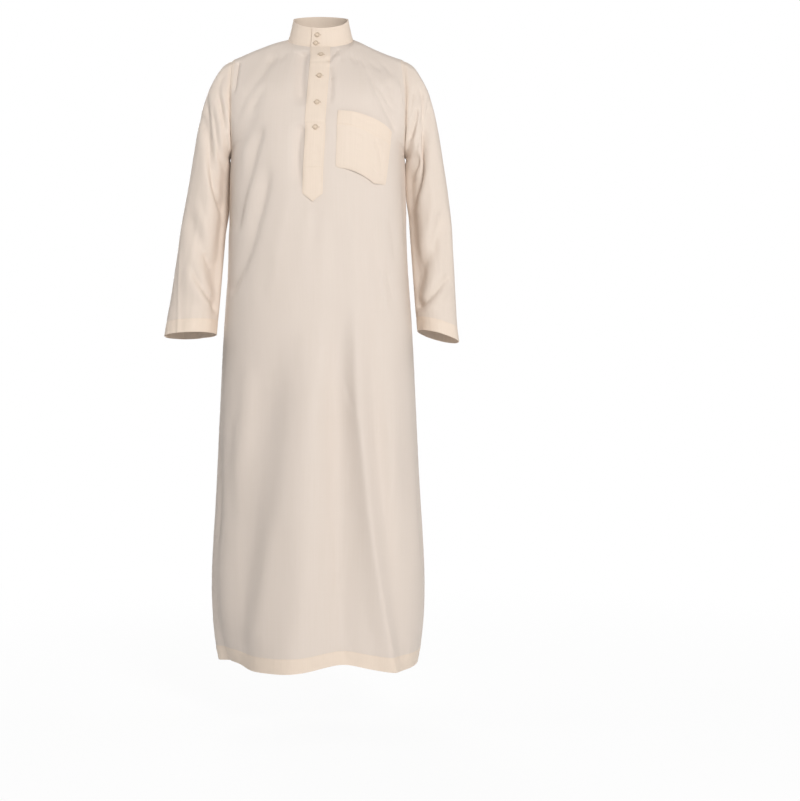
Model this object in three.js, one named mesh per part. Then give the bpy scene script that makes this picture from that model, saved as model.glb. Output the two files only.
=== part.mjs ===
// An ankle-length, long-sleeved robe with a stand collar, a half placket and a chest pocket,
// modelled as it hangs on a standing wearer: a hollow shell of separate cut pieces.
// Millimetres, +Z up, the front faces -Y, +X is the wearer's left.
// The origin is the middle of the neck seam, between the two neck points of the shoulder seams.
import * as THREE from "three";

const deg = Math.PI / 180;

// Cloth thicknesses and clearances
const wall = 1.6; // panels, sleeves and pocket
const hemWall = 2.4; // where a hem is turned up twice
const collarWall = 2.6; // two layers and a stiffener
const placketWall = 1.9; // two layers
const pocketHemWall = 2.3;
const seam = 0.3; // clearance between sewn pieces
const lap = 0.5; // clearance under a button, and between the collar's lapped ends

// Neck seam: half an ellipse that falls to the front and half a one that rises to the back
const neck = { x: 6, y: 4, halfWidth: 70, frontReach: 60, frontFall: 30, backReach: 58, backRise: 18 };
const shoulderTip = { x: 183, y: 2, z: -46 };
const shoulderSag = { right: -3, left: 3 }; // how far each shoulder seam hangs under a straight line
const neckShare = 0.47; // share of a panel's top edge that is neckline
const neckArc = 107.5; // length of the neck seam from its centre to a neck point

// Stand collar. Its ends lap each other out to lapped on both sides of the centre front, and the
// lower end starts to step inwards lapStart before it.
const collar = { height: 41, lean: 5, topHalfWidth: 59, topHalfDepth: 51, lapped: 21, lapStart: 62, levels: 4 };

// Half placket, as wide on each side of the centre line, with a pointed end
const placket = { halfWidth: 21, cornerZ: -350, pointZ: -367 };
const placketButtons = [-50, -99, -158, -212]; // heights
const collarButtons = [
  { share: 0.69, across: -5 },
  { share: 0.26, across: -8 },
];
const button = { radius: 5.7, thick: 2.3, dish: 0.7, rim: 1.3 };

// Chest pocket, on the wearer's left: distances from the centre line, and heights at its inner edge
const pocket = {
  inner: 44,
  outer: 168,
  topZ: -176,
  bottomZ: -296,
  topDroop: 38, // how much lower its outer end lies
  topBow: 1.9, // above 1, an edge runs level at first and falls later
  bottomDroop: 62,
  bottomBow: 1.8,
  bottomLowest: 31, // the bottom edge falls no further, which cuts off its outer corner
  lean: 12, // how far the outer edge slants in at the bottom
  corner: 4, // height of the cut-off inner corner
  hem: 30,
  lift: 0.8,
  puff: 1.6,
};

// Side pocket mouths: stretches of the side seams that are left open
const sidePocket = { topZ: -510, bottomZ: -706, gape: 1.6 };

// Body sections from the shoulder seam to the hem. down orders them, and steps is the number of
// mesh rows from each to the next one. The two under the seam are given by how far they lie out from it and
// below it: at the shoulder, at the centre front and at the centre back.
// In the others z and sideZ are the heights at the centre and at the armhole or side seam, width
// the half width there, front and back the depths of the centre lines, and lean the sideways drift
// of the centre. Above the underarm, edge is the depth of the armhole's edge and turn how far a
// section bends from its centre to there, in degrees. Soften rounds the corner at the neck point.
const bodyRows = [
  { down: 0, steps: 1 },
  { down: 20, steps: 1, soften: 0.05, out: 20, drop: 5, frontOut: 14, frontDrop: 16, backOut: 9, backDrop: 17 },
  { down: 40, steps: 3, soften: 0.11, out: 36, drop: 18, frontOut: 26, frontDrop: 31, backOut: 17, backDrop: 36 },
  { down: 88, steps: 3, z: -113, sideZ: -120, width: 187, front: -101, back: 94, edge: 51, turn: 56, lean: 2 },
  { down: 150, steps: 2, z: -174, sideZ: -193, width: 186, front: -119, back: 110, edge: 57, turn: 66, lean: -3 },
  { down: 182, steps: 2, z: -206, sideZ: -238, width: 185, front: -126, back: 114, edge: 38, turn: 76, lean: -5 },
  { down: 212, steps: 2, z: -238, sideZ: -255, width: 186, front: -130, back: 115, lean: -6 },
  { down: 276, steps: 2, z: -302, sideZ: -320, width: 187, front: -134, back: 112, lean: -8 },
  { down: 358, steps: 2, z: -384, sideZ: -396, width: 189, front: -139, back: 107, lean: -8 },
  { down: 460, steps: 2, z: -486, sideZ: -492, width: 193, front: -143, back: 107, lean: -4 },
  { down: 567, steps: 2, z: -593, sideZ: -595, width: 200, front: -146, back: 118, lean: 0 },
  { down: 676, steps: 2, z: -702, sideZ: -702, width: 206, front: -147, back: 134, lean: 0 },
  { down: 784, steps: 3, z: -810, sideZ: -810, width: 211, front: -150, back: 144, lean: 0 },
  { down: 968, steps: 3, z: -994, sideZ: -994, width: 220, front: -156, back: 154, lean: 0 },
  { down: 1113, steps: 2, z: -1139, sideZ: -1139, width: 228, front: -162, back: 162, lean: 0 },
  { down: 1205, steps: 2, z: -1231, sideZ: -1231, width: 227, front: -167, back: 167, lean: 0 },
  { down: 1278, steps: 1, z: -1304, sideZ: -1300, width: 220, front: -170, back: 170, lean: 0 },
  { down: 1310, steps: 1, z: -1336, sideZ: -1332, width: 214, front: -171, back: 172, lean: 0 },
];
const underarm = 6; // the section where the armhole ends and the side seam starts
const squareness = 0.03; // fills a section out towards its corners
const hemLift = { x: 48, height: 18, width: 62, reach: 130 }; // the front hem rises between the feet

// Column places on a half panel: fixed distances from the centre line, which the placket, the
// pocket and the neck points share, then even steps to the armhole or side seam.
const steps = (count) => Array.from({ length: count }, (_, i) => (i + 1) / count);
const between = (from, to, count) => steps(count).map((t) => from + (to - from) * t);
const frontColumns = {
  fixed: [
    0,
    placket.halfWidth / 2,
    placket.halfWidth,
    pocket.inner,
    ...between(pocket.inner, neckArc, 3),
    ...between(neckArc, pocket.outer, 3),
  ],
  steps: 6,
};
const backColumns = { fixed: [0, ...between(0, neckArc, 5), ...between(neckArc, pocket.outer, 2)], steps: 6 };

// Sleeve sections from the armhole to the cuff, as the outermost and innermost points of each one
// seen from the front, the depth of its middle and its half depth.
const sleeveRows = [
  { steps: 1, outX: 183, outZ: -46, inX: 186, inZ: -255, middle: 2, depth: 57 },
  { steps: 1, outX: 205, outZ: -62, inX: 188.6, inZ: -257, middle: 2, depth: 61 },
  { steps: 1, outX: 223, outZ: -87, inX: 189.6, inZ: -260, middle: 3, depth: 64 },
  { steps: 1, outX: 238, outZ: -118, inX: 190.2, inZ: -264, middle: 3, depth: 66 },
  { steps: 1, outX: 249, outZ: -155, inX: 190.6, inZ: -271, middle: 4, depth: 67 },
  { steps: 2, outX: 258, outZ: -197, inX: 191, inZ: -283, middle: 6, depth: 67 },
  { steps: 2, outX: 266, outZ: -243, inX: 191.5, inZ: -302, middle: 8, depth: 66 },
  { steps: 2, outX: 274, outZ: -293, inX: 192.5, inZ: -331, middle: 10, depth: 65 },
  { steps: 2, outX: 282, outZ: -345, inX: 194.5, inZ: -368, middle: 11, depth: 63 },
  { steps: 2, outX: 292, outZ: -409, inX: 198, inZ: -420, middle: 9, depth: 60 },
  { steps: 2, outX: 300, outZ: -482, inX: 203, inZ: -488, middle: 3, depth: 55 },
  { steps: 2, outX: 307, outZ: -556, inX: 208, inZ: -558, middle: -6, depth: 50 },
  { steps: 1, outX: 312, outZ: -596, inX: 211, inZ: -594, middle: -12, depth: 47 },
  { steps: 1, outX: 317, outZ: -632, inX: 214, inZ: -630, middle: -17, depth: 45 },
];
const capRows = 7; // sections over which the armhole's own outline fades out
const cuffBackDrop = 12; // the back of a cuff hangs lower than its front
// How far the outer and inner sides of each cuff lie from the table above.
const sleeves = [
  { name: "sleeve_right", side: -1, cuffOut: 12, cuffOutDrop: 2, cuffIn: 2, cuffInDrop: 0 },
  { name: "sleeve_left", side: 1, cuffOut: -15, cuffOutDrop: 14, cuffIn: -2, cuffInDrop: -8 },
];

// Large folds of the panels, as soft ridges (height above 0) and troughs. Each curve starts at
// (x0, z0), bends towards (x1, z1) and ends at (x2, z2), as seen from the front, and width is half
// the fold's breadth.
const frontFolds = [
  { x0: 78, z0: -480, x1: 72, z1: -910, x2: 150, z2: -1370, height: 14, width: 22 }, // left leg
  { x0: -8, z0: -570, x1: -14, z1: -970, x2: -62, z2: -1370, height: 15, width: 46 }, // right leg
  { x0: -68, z0: -610, x1: -90, z1: -930, x2: -178, z2: -1370, height: -15, width: 27 },
  { x0: -146, z0: -650, x1: -170, z1: -910, x2: -170, z2: -1140, height: 7, width: 24 },
  { x0: 40, z0: -650, x1: 46, z1: -1010, x2: 66, z2: -1370, height: -13, width: 26 }, // between the legs
  { x0: 141, z0: -570, x1: 158, z1: -846, x2: 146, z2: -1070, height: 6, width: 22 },
  { x0: -92, z0: -262, x1: -112, z1: -400, x2: -172, z2: -540, height: -9, width: 21 }, // chest to hip
  { x0: -124, z0: -272, x1: -142, z1: -390, x2: -176, z2: -480, height: 5, width: 19 },
  { x0: -116, z0: -115, x1: -142, z1: -175, x2: -168, z2: -260, height: -6, width: 17 }, // off the armholes
  { x0: 134, z0: -110, x1: 154, z1: -165, x2: 176, z2: -240, height: -5, width: 15 },
];
const backFolds = [
  { x0: -70, z0: -330, x1: -92, z1: -850, x2: -120, z2: -1370, height: 15, width: 32 },
  { x0: 66, z0: -360, x1: 84, z1: -850, x2: 104, z2: -1370, height: 14, width: 34 },
  { x0: -8, z0: -420, x1: -14, z1: -900, x2: -20, z2: -1370, height: -15, width: 34 },
  { x0: -140, z0: -560, x1: -160, z1: -950, x2: -176, z2: -1370, height: -10, width: 22 },
  { x0: 138, z0: -600, x1: 152, z1: -950, x2: 166, z2: -1370, height: -10, width: 24 },
  { x0: 30, z0: -800, x1: 36, z1: -1080, x2: 40, z2: -1370, height: 8, width: 24 },
  { x0: -110, z0: -130, x1: -140, z1: -210, x2: -172, z2: -340, height: -7, width: 19 }, // off the armholes
  { x0: 112, z0: -130, x1: 142, z1: -210, x2: 172, z2: -340, height: -7, width: 19 },
  { x0: -100, z0: -440, x1: -40, z1: -480, x2: 40, z2: -450, height: -5, width: 22 }, // small of the back
];
// Sleeve folds run in the same way from (angle0, row0) to (angle2, row2). Angle 0 is the outer
// side of the sleeve, 90 its front, 180 its inner side and 270 its back, row counts the sections,
// and width is in degrees of angle.
const sleeveFolds = [
  { angle0: 20, row0: 2.8, angle1: 84, row1: 4.6, angle2: 138, row2: 7.6, height: -10, width: 20 },
  { angle0: 62, row0: 2.4, angle1: 112, row1: 4.2, angle2: 150, row2: 6.2, height: -6, width: 17 },
  { angle0: 30, row0: 8.4, angle1: 96, row1: 9.4, angle2: 160, row2: 10.8, height: -9, width: 17 },
  { angle0: 50, row0: 10.2, angle1: 100, row1: 10.7, angle2: 150, row2: 11.6, height: 5, width: 16 },
  { angle0: 340, row0: 3.2, angle1: 282, row1: 5.2, angle2: 222, row2: 8.2, height: -9, width: 17 },
  { angle0: 330, row0: 8.2, angle1: 275, row1: 9.1, angle2: 210, row2: 9.4, height: -8, width: 17 },
  { angle0: 335, row0: 9.8, angle1: 280, row1: 10.2, angle2: 215, row2: 10.4, height: -6, width: 16 },
];
const degreesPerRow = 42; // lets a fold's breadth be measured in degrees along the sleeve too

const vec = (x, y, z) => new THREE.Vector3(x, y, z);
const mix = (a, b, t) => a + (b - a) * t;
const clamp01 = (t) => Math.min(1, Math.max(0, t));
const smooth = (t) => clamp01(t) ** 2 * (3 - 2 * clamp01(t));

// A cubic from p1 to p2, gap apart, with the slopes m1 and m2.
function cubic(p1, p2, m1, m2, gap, t) {
  const t2 = t * t;
  const t3 = t2 * t;
  return p1
    .clone()
    .multiplyScalar(2 * t3 - 3 * t2 + 1)
    .addScaledVector(m1, (t3 - 2 * t2 + t) * gap)
    .addScaledVector(p2, 3 * t2 - 2 * t3)
    .addScaledVector(m2, (t3 - t2) * gap);
}

// ---- body sections ----

// The neck seam at an angle from its centre: 0 is the centre front (face -1) or back (face 1),
// and 90 degrees the wearer's left neck point.
function neckSeam(angle, face) {
  const reach = face < 0 ? -neck.frontReach : neck.backReach;
  const rise = face < 0 ? -neck.frontFall : neck.backRise;
  return vec(neck.x + neck.halfWidth * Math.sin(angle), neck.y + reach * Math.cos(angle), rise * Math.cos(angle));
}

// A panel's top edge: the neck seam out to the neck point, then the shoulder seam. s runs from -1
// at the wearer's right shoulder to 1 at the left one.
function topEdge(s, face) {
  const side = Math.sign(s);
  const share = Math.min(1, Math.abs(s));
  if (share <= neckShare) return neckSeam((side * share * 90 * deg) / neckShare, face);
  const t = (share - neckShare) / (1 - neckShare);
  const tip = vec(side * shoulderTip.x, shoulderTip.y, shoulderTip.z);
  const point = neckSeam(side * 90 * deg, face).lerp(tip, t);
  point.z -= (side < 0 ? shoulderSag.right : shoulderSag.left) * Math.sin(t * Math.PI);
  return point;
}

// Section k of the body at s.
function sectionPoint(k, s, face) {
  const row = bodyRows[k];
  if (k === 0) return topEdge(s, face);
  const side = Math.sign(s);
  const share = Math.abs(s);
  if (row.out) {
    const toShoulder = smooth((share - 0.1) / 0.5);
    const out = mix(face < 0 ? row.frontOut : row.backOut, row.out, toShoulder);
    const drop = mix(face < 0 ? row.frontDrop : row.backDrop, row.drop, toShoulder);
    const reach = Math.min(row.soften, 1 - share);
    const above = [s - reach, s, s + reach].reduce((sum, at) => sum.add(topEdge(at, face)), vec(0, 0, 0));
    return above.divideScalar(3).add(vec(0, face * out, -drop));
  }
  const edge = row.edge ?? 0;
  const turn = (row.turn ?? 90) * deg;
  const across = (a) => Math.sin(a) + squareness * Math.sin(3 * a);
  const along = (a) => Math.cos(a) - squareness * Math.cos(3 * a);
  const bulge = (along(share * turn) - along(turn)) / (along(0) - along(turn));
  return vec(
    (side * row.width * across(share * turn)) / across(turn) + row.lean * (1 - share ** 2),
    mix(face * edge, face < 0 ? row.front : row.back, bulge),
    mix(row.z, row.sideZ, share ** 2.4),
  );
}

// How fast the body runs down through section k. At the shoulder seam it starts level, and at a
// panel's edge the underarm is a corner, where the armhole meets the side seam.
function sectionSlope(k, s, face, below) {
  const last = bodyRows.length - 1;
  const run = (a, b) =>
    sectionPoint(b, s, face).sub(sectionPoint(a, s, face)).divideScalar(bodyRows[b].down - bodyRows[a].down);
  const slope = run(Math.max(0, k - 1), Math.min(last, k + 1));
  if (k === underarm) slope.lerp(below ? run(k, k + 1) : run(k - 1, k), Math.abs(s) ** 8);
  return slope;
}

function bodyPoint({ k, t }, s, face) {
  if (t === 0) return sectionPoint(k, s, face);
  const gap = bodyRows[k + 1].down - bodyRows[k].down;
  const slopes = [sectionSlope(k, s, face, true), sectionSlope(k + 1, s, face, false)];
  return cubic(sectionPoint(k, s, face), sectionPoint(k + 1, s, face), ...slopes, gap, t);
}

// Mesh rows, each as a section and a share of the way to the next one. The last section is one row.
const rowsBetween = (sections) =>
  sections.flatMap((section, k) => [0, ...steps(section.steps).slice(0, -1)].map((t) => ({ k, t })));
const meshRows = rowsBetween(bodyRows);
const underarmRow = meshRows.findIndex(({ k }) => k === underarm);

// The places s on one side of a row that lie at the wanted distances from its centre, with what is
// left from there to the edge.
function placesAt(row, face, side, columns) {
  const samples = 100;
  const points = Array.from({ length: samples + 1 }, (_, i) => bodyPoint(row, (side * i) / samples, face));
  const lengths = [0];
  for (let i = 1; i <= samples; i++) lengths.push(lengths[i - 1] + points[i].distanceTo(points[i - 1]));
  const whole = lengths[samples];
  const outer = between(columns.fixed.at(-1), whole, columns.steps);
  return [...columns.fixed, ...outer].map((wanted) => {
    const i = Math.max(0, lengths.findIndex((length) => length >= wanted - 1e-6) - 1);
    const inside = clamp01((wanted - lengths[i]) / (lengths[i + 1] - lengths[i]));
    return { s: (side * (i + inside)) / samples, left: whole - wanted };
  });
}

// ---- folds ----

// How near (x, y) is to a bent curve, and how far along it that is.
function nearCurve(fold, x, y) {
  const pieces = 10;
  const best = { far: Infinity, t: 0 };
  const at = (t) => [
    mix(mix(fold[0], fold[2], t), mix(fold[2], fold[4], t), t),
    mix(mix(fold[1], fold[3], t), mix(fold[3], fold[5], t), t),
  ];
  for (let i = 0; i < pieces; i++) {
    const [ax, ay] = at(i / pieces);
    const [bx, by] = at((i + 1) / pieces);
    const u = clamp01(((x - ax) * (bx - ax) + (y - ay) * (by - ay)) / ((bx - ax) ** 2 + (by - ay) ** 2));
    const far = Math.hypot(x - mix(ax, bx, u), y - mix(ay, by, u));
    if (far < best.far) Object.assign(best, { far, t: (i + u) / pieces });
  }
  return best;
}

const bell = (far, width) => Math.exp(-((far / width) ** 2));

function panelFold(fold, point) {
  const { far, t } = nearCurve([fold.x0, fold.z0, fold.x1, fold.z1, fold.x2, fold.z2], point.x, point.z);
  const end = fold.z2 < -1340 ? 1 : smooth((1 - t) / 0.3); // the long ones run out through the hem
  return fold.height * bell(far, fold.width) * smooth(t / 0.3) * end;
}

function sleeveFold(fold, angle, row) {
  const { angle0, row0, angle1, row1, angle2, row2 } = fold;
  const curve = [angle0, row0 * degreesPerRow, angle1, row1 * degreesPerRow, angle2, row2 * degreesPerRow];
  const { far, t } = nearCurve(curve, angle, row * degreesPerRow);
  return fold.height * bell(far, fold.width) * smooth(t / 0.25) * smooth((1 - t) / 0.25);
}

// ---- shells ----

// Unit normals of a grid of points. The rows of a closed grid are rings.
function gridNormals(grid, closed) {
  return grid.map((line, j) =>
    line.map((_, i) => {
      const n = line.length;
      const before = line[closed ? (i + n - 1) % n : Math.max(0, i - 1)];
      const after = line[closed ? (i + 1) % n : Math.min(n - 1, i + 1)];
      const above = grid[Math.max(0, j - 1)][i];
      const below = grid[Math.min(grid.length - 1, j + 1)][i];
      return below.clone().sub(above).cross(after.clone().sub(before)).normalize();
    }),
  );
}

// One closed solid between an outer and an inner grid of points of the same size.
function shell(name, outer, inner, closed, material) {
  const rows = outer.length;
  const n = outer[0].length;
  const corners = [...outer.flat(), ...inner.flat()];
  const index = [];
  const at = (layer, j, i) => layer * rows * n + j * n + (i % n);
  const quad = (a, b, c, d) => index.push(a, b, c, a, c, d);
  const spans = closed ? n : n - 1;
  for (let i = 0; i < spans; i++) {
    for (let j = 0; j < rows - 1; j++) {
      quad(at(0, j, i), at(0, j + 1, i), at(0, j + 1, i + 1), at(0, j, i + 1));
      quad(at(1, j, i), at(1, j, i + 1), at(1, j + 1, i + 1), at(1, j + 1, i));
    }
    quad(at(0, 0, i), at(0, 0, i + 1), at(1, 0, i + 1), at(1, 0, i));
    quad(at(0, rows - 1, i + 1), at(0, rows - 1, i), at(1, rows - 1, i), at(1, rows - 1, i + 1));
  }
  for (let j = 0; j < rows - 1 && !closed; j++) {
    quad(at(0, j, 0), at(1, j, 0), at(1, j + 1, 0), at(0, j + 1, 0));
    quad(at(0, j, n - 1), at(0, j + 1, n - 1), at(1, j + 1, n - 1), at(1, j, n - 1));
  }
  let volume = 0;
  for (let i = 0; i < index.length; i += 3) {
    const [a, b, c] = index.slice(i, i + 3).map((k) => corners[k]);
    volume += a.dot(b.clone().cross(c));
  }
  if (volume < 0) index.reverse();
  const geometry = new THREE.BufferGeometry();
  geometry.setAttribute("position", new THREE.Float32BufferAttribute(corners.flatMap((p) => p.toArray()), 3));
  geometry.setIndex(index);
  geometry.computeVertexNormals();
  const mesh = new THREE.Mesh(geometry, material);
  mesh.name = name;
  return mesh;
}

const moved = (grid, normals, distance) =>
  grid.map((line, j) => line.map((point, i) => point.clone().addScaledVector(normals[j][i], distance(j, i))));

// ---- pieces ----

const cloth = new THREE.MeshStandardMaterial({ color: 0xe2d6cb, roughness: 0.75, metalness: 0 });
const doubledCloth = new THREE.MeshStandardMaterial({ color: 0xecdccf, roughness: 0.7, metalness: 0 });
const buttonPlastic = new THREE.MeshStandardMaterial({ color: 0xf0e6da, roughness: 0.35, metalness: 0 });

// A body panel: its outer points, inner points and outward normals, with rows from the shoulder to
// the hem and columns from the wearer's right to the left.
function panel(face, columns, folds) {
  const hemRow = meshRows.length - 2;
  const plain = meshRows.map((row) => {
    const right = placesAt(row, face, -1, columns).reverse();
    const left = placesAt(row, face, 1, columns);
    return [...right, ...left.slice(1)].map((place) => Object.assign(bodyPoint(row, place.s, face), place));
  });
  const outwards = (grid) => {
    const normals = gridNormals(grid, false);
    normals.flat().forEach((normal) => normal.multiplyScalar(-face));
    return normals;
  };
  const flat = outwards(plain);
  const outer = moved(plain, flat, (j, i) => {
    const point = plain[j][i];
    const calm = smooth(point.left / 42) * smooth(j / 4);
    return calm * folds.reduce((sum, fold) => sum + panelFold(fold, point), 0);
  });
  const hemZ = bodyRows.at(-1).z;
  const normals = outwards(outer);
  outer.forEach((line, j) =>
    line.forEach((point, i) => {
      const { s, left } = plain[j][i];
      const low = smooth(1 - (point.z - hemZ) / hemLift.reach) * smooth(left / 60);
      if (face < 0) point.z += hemLift.height * bell(point.x - hemLift.x, hemLift.width) * low;
      const onSideSeam = Math.abs(s) > 0.9999 && j >= underarmRow;
      const onShoulderSeam = j === 0 && Math.abs(s) > neckShare - 1e-3;
      if (!onSideSeam && !onShoulderSeam) return;
      const mouth = smooth((sidePocket.topZ - point.z) / 30) * smooth((point.z - sidePocket.bottomZ) / 30);
      point.y += face * (seam / 2 + (onSideSeam ? sidePocket.gape * mouth : 0));
      normals[j][i].setY(0).normalize(); // keeps the wall's edge square to the seam
    }),
  );
  const inner = moved(outer, normals, (j) => (j >= hemRow ? -hemWall : -wall));
  return { outer, inner, normals };
}

const front = panel(-1, frontColumns, frontFolds);
const back = panel(1, backColumns, backFolds);

// The armhole's edge as a ring: from the shoulder tip down the front and up the back.
function armhole(side) {
  const edge = (grid, j) => (side > 0 ? grid[j].at(-1) : grid[j][0]);
  const ring = (key) => {
    const down = front[key].slice(0, underarmRow + 1).map((_, j) => edge(front[key], j).clone());
    const up = back[key].slice(0, underarmRow + 1).map((_, j) => edge(back[key], j).clone());
    down[0].lerp(up[0], 0.5);
    down[underarmRow].lerp(up[underarmRow], 0.5);
    return [...down, ...up.slice(1, -1).reverse()];
  };
  const outer = ring("outer");
  const normals = ring("normals");
  const n = outer.length;
  const away = outer.map((_, i) => {
    const along = outer[(i + 1) % n].clone().sub(outer[(i + n - 1) % n]);
    return along.cross(normals[i]).normalize().multiplyScalar(-side);
  });
  const room = (i) => seam * (1 + 1.5 * bell(i - underarmRow, 5)); // the underarm's corner needs more
  const shift = (points) => points.map((point, i) => point.addScaledVector(away[i], room(i)));
  return { outer: shift(outer), inner: shift(ring("inner")) };
}

function sleeve({ name, side, cuffOut, cuffOutDrop, cuffIn, cuffInDrop }) {
  const hole = armhole(side);
  const n = hole.outer.length;
  const last = sleeveRows.length - 1;
  const corners = sleeveRows.map((row, k) => {
    const toCuff = smooth((k - 7) / (last - 7));
    return {
      out: vec(side * (row.outX + cuffOut * toCuff), row.middle, row.outZ - cuffOutDrop * toCuff),
      in: vec(side * (row.inX + cuffIn * toCuff), row.middle, row.inZ - cuffInDrop * toCuff),
      depth: row.depth,
    };
  });
  const ellipse = (k, angle) => {
    const ring = corners[k];
    const toCuff = smooth((k - last + 3) / 3);
    return ring.in
      .clone()
      .lerp(ring.out, (1 + Math.cos(angle)) / 2)
      .add(vec(0, -ring.depth * Math.sin(angle), (-cuffBackDrop * toCuff * (1 - Math.sin(angle))) / 2));
  };
  const station = (k, i) => {
    const angle = (i / n) * 360 * deg;
    const fade = 1 - smooth(k / capRows);
    return ellipse(k, angle).addScaledVector(hole.outer[i].clone().sub(ellipse(0, angle)), fade);
  };
  const slope = (k, i) => {
    const ahead = station(Math.min(last, k + 1), i);
    return ahead.sub(station(Math.max(0, k - 1), i)).multiplyScalar(0.5);
  };
  const rings = rowsBetween(sleeveRows).map(({ k, t }) => ({
    row: k + t,
    points: hole.outer.map((_, i) =>
      t > 0 ? cubic(station(k, i), station(k + 1, i), slope(k, i), slope(k + 1, i), 1, t) : station(k, i),
    ),
  }));
  const outwards = (grid) =>
    gridNormals(grid, true).map((line, j) => {
      const middle = grid[j].reduce((sum, point) => sum.add(point), vec(0, 0, 0)).divideScalar(n);
      const away = line.reduce((sum, normal, i) => sum + normal.dot(grid[j][i].clone().sub(middle)), 0);
      return line.map((normal) => normal.multiplyScalar(Math.sign(away)));
    });
  const plain = rings.map(({ points }) => points);
  const outer = moved(plain, outwards(plain), (j, i) => {
    const angle = (i / n) * 360;
    const { row } = rings[j];
    const clear = smooth((Math.abs(angle - 180) - 14) / 30); // the side that hangs by the body stays plain
    return clear * smooth(row / 2) * sleeveFolds.reduce((sum, fold) => sum + sleeveFold(fold, angle, row), 0);
  });
  const inner = moved(outer, outwards(outer), (j) => (j >= rings.length - 2 ? -hemWall : -wall));
  inner[0] = hole.inner;
  return shell(name, outer, inner, true, cloth);
}

// The collar is one band: it starts on top at the placket's outer edge, runs round the neck by the
// wearer's left side and the back, and ends under its own start. Its places are distances along
// the neck seam from the centre front, with how far each lies under the start.
function collarBand() {
  const half = 2 * neckArc; // from the centre front to the centre back
  const quarter = frontColumns.fixed.filter((d) => d <= neckArc + 1e-6);
  const rear = backColumns.fixed.filter((d) => d < neckArc - 1e-6);
  const leftSide = [...quarter, ...rear.toReversed().map((d) => half - d)];
  const lapped = quarter.filter((d) => d <= collar.lapped);
  const distances = [
    ...lapped.slice(1).toReversed().map((d) => -d),
    ...leftSide,
    ...leftSide.slice(0, -1).toReversed().map((d) => 2 * half - d),
    ...lapped.slice(1).map((d) => 2 * half + d),
  ];
  const rows = between(1, 0, collar.levels);
  const grid = [1, ...rows].map((up) =>
    distances.map((distance) => {
      const turn = (distance / half) * 180 * deg;
      const base = neckSeam(Math.asin(Math.sin(turn)), Math.cos(turn) > 0 ? -1 : 1);
      const middle = vec(neck.x, neck.y - collar.lean * up, base.z + lap + collar.height * up);
      const width = mix(1, collar.topHalfWidth / neck.halfWidth, up ** 0.8);
      const depth = mix(1, collar.topHalfDepth / neck.frontReach, up ** 0.8);
      const point = middle.clone().add(vec((base.x - neck.x) * width, (base.y - neck.y) * depth, 0));
      const under = clamp01((distance - 2 * half + collar.lapStart) / (collar.lapStart - collar.lapped));
      return point.addScaledVector(middle.sub(point).normalize(), under * (collarWall + lap));
    }),
  );
  const inwards = gridNormals(grid, false);
  const facesOut = Math.sign(inwards[0][0].y); // the first column is at the front, where out is -Y
  const inner = moved(grid, inwards, () => facesOut * collarWall);
  return { mesh: shell("collar", grid, inner, false, doubledCloth), grid, distances };
}

// The point and the normal of the front panel at a height on one of its columns.
function onFront(column, z) {
  const j = front.outer.findIndex((line) => line[column].z <= z);
  const above = front.outer[j - 1][column];
  const below = front.outer[j][column];
  const t = (above.z - z) / (above.z - below.z);
  return {
    point: above.clone().lerp(below, t),
    normal: front.normals[j - 1][column].clone().lerp(front.normals[j][column], t).normalize(),
  };
}

const centreColumn = frontColumns.fixed.length - 1 + frontColumns.steps;

// A piece sewn flat on the front panel, from a grid of its points: lift and thick give the
// clearance under each point and the piece's thickness there.
function flatPiece(name, spots, lift, thick) {
  const points = spots.map((line) => line.map(({ point }) => point));
  const normals = spots.map((line) => line.map(({ normal }) => normal));
  const inner = moved(points, normals, lift);
  const outer = moved(inner, normals, thick);
  return { mesh: shell(name, outer, inner, false, doubledCloth), outer };
}

function placketStrip() {
  const columns = [-2, -1, 0, 1, 2].map((step) => centreColumn + step);
  const rows = front.outer.filter((line) => line[centreColumn].z > placket.cornerZ + 6).length;
  const spots = Array.from({ length: rows }, (_, j) =>
    columns.map((c) => ({ point: front.outer[j][c], normal: front.normals[j][c] })),
  );
  const pointedEnd = (c) => mix(placket.pointZ, placket.cornerZ, Math.abs(c - centreColumn) / 2);
  spots.push(columns.map((c) => onFront(c, pointedEnd(c))));
  return flatPiece("placket", spots, () => seam, () => placketWall);
}

function chestPocket() {
  const first = frontColumns.fixed.indexOf(pocket.inner);
  const columns = frontColumns.fixed.slice(first).map((_, i) => centreColumn + first + i);
  const last = columns.length - 1;
  const lastStep = pocket.outer - frontColumns.fixed.at(-2);
  const levels = [0, pocket.hem / (pocket.topZ - pocket.bottomZ), 0.42, 0.6, 0.8, 1];
  const spots = levels.map((level) =>
    columns.map((c, i) => {
      const top = pocket.topZ - pocket.topDroop * (i / last) ** pocket.topBow;
      const fall = Math.min(pocket.bottomLowest, pocket.bottomDroop * (i / last) ** pocket.bottomBow);
      const bottom = pocket.bottomZ - fall + (i === 0 ? pocket.corner : 0);
      const z = mix(top, bottom, level);
      const spot = onFront(c, z);
      const inwards = onFront(c - 1, z);
      const slant = i === last ? (pocket.lean * level ** 2) / lastStep : 0;
      spot.point.lerp(inwards.point, slant);
      spot.normal.lerp(inwards.normal, slant).normalize();
      return spot;
    }),
  );
  const swell = (j, i) => Math.sin((i / last) * Math.PI) * Math.sin((1 - levels[j]) * 90 * deg);
  const lift = (j, i) => pocket.lift + pocket.puff * clamp01(1.4 * swell(j, i));
  return flatPiece("chest_pocket", spots, lift, (j) => (j < 2 ? pocketHemWall : wall)).mesh;
}

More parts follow.
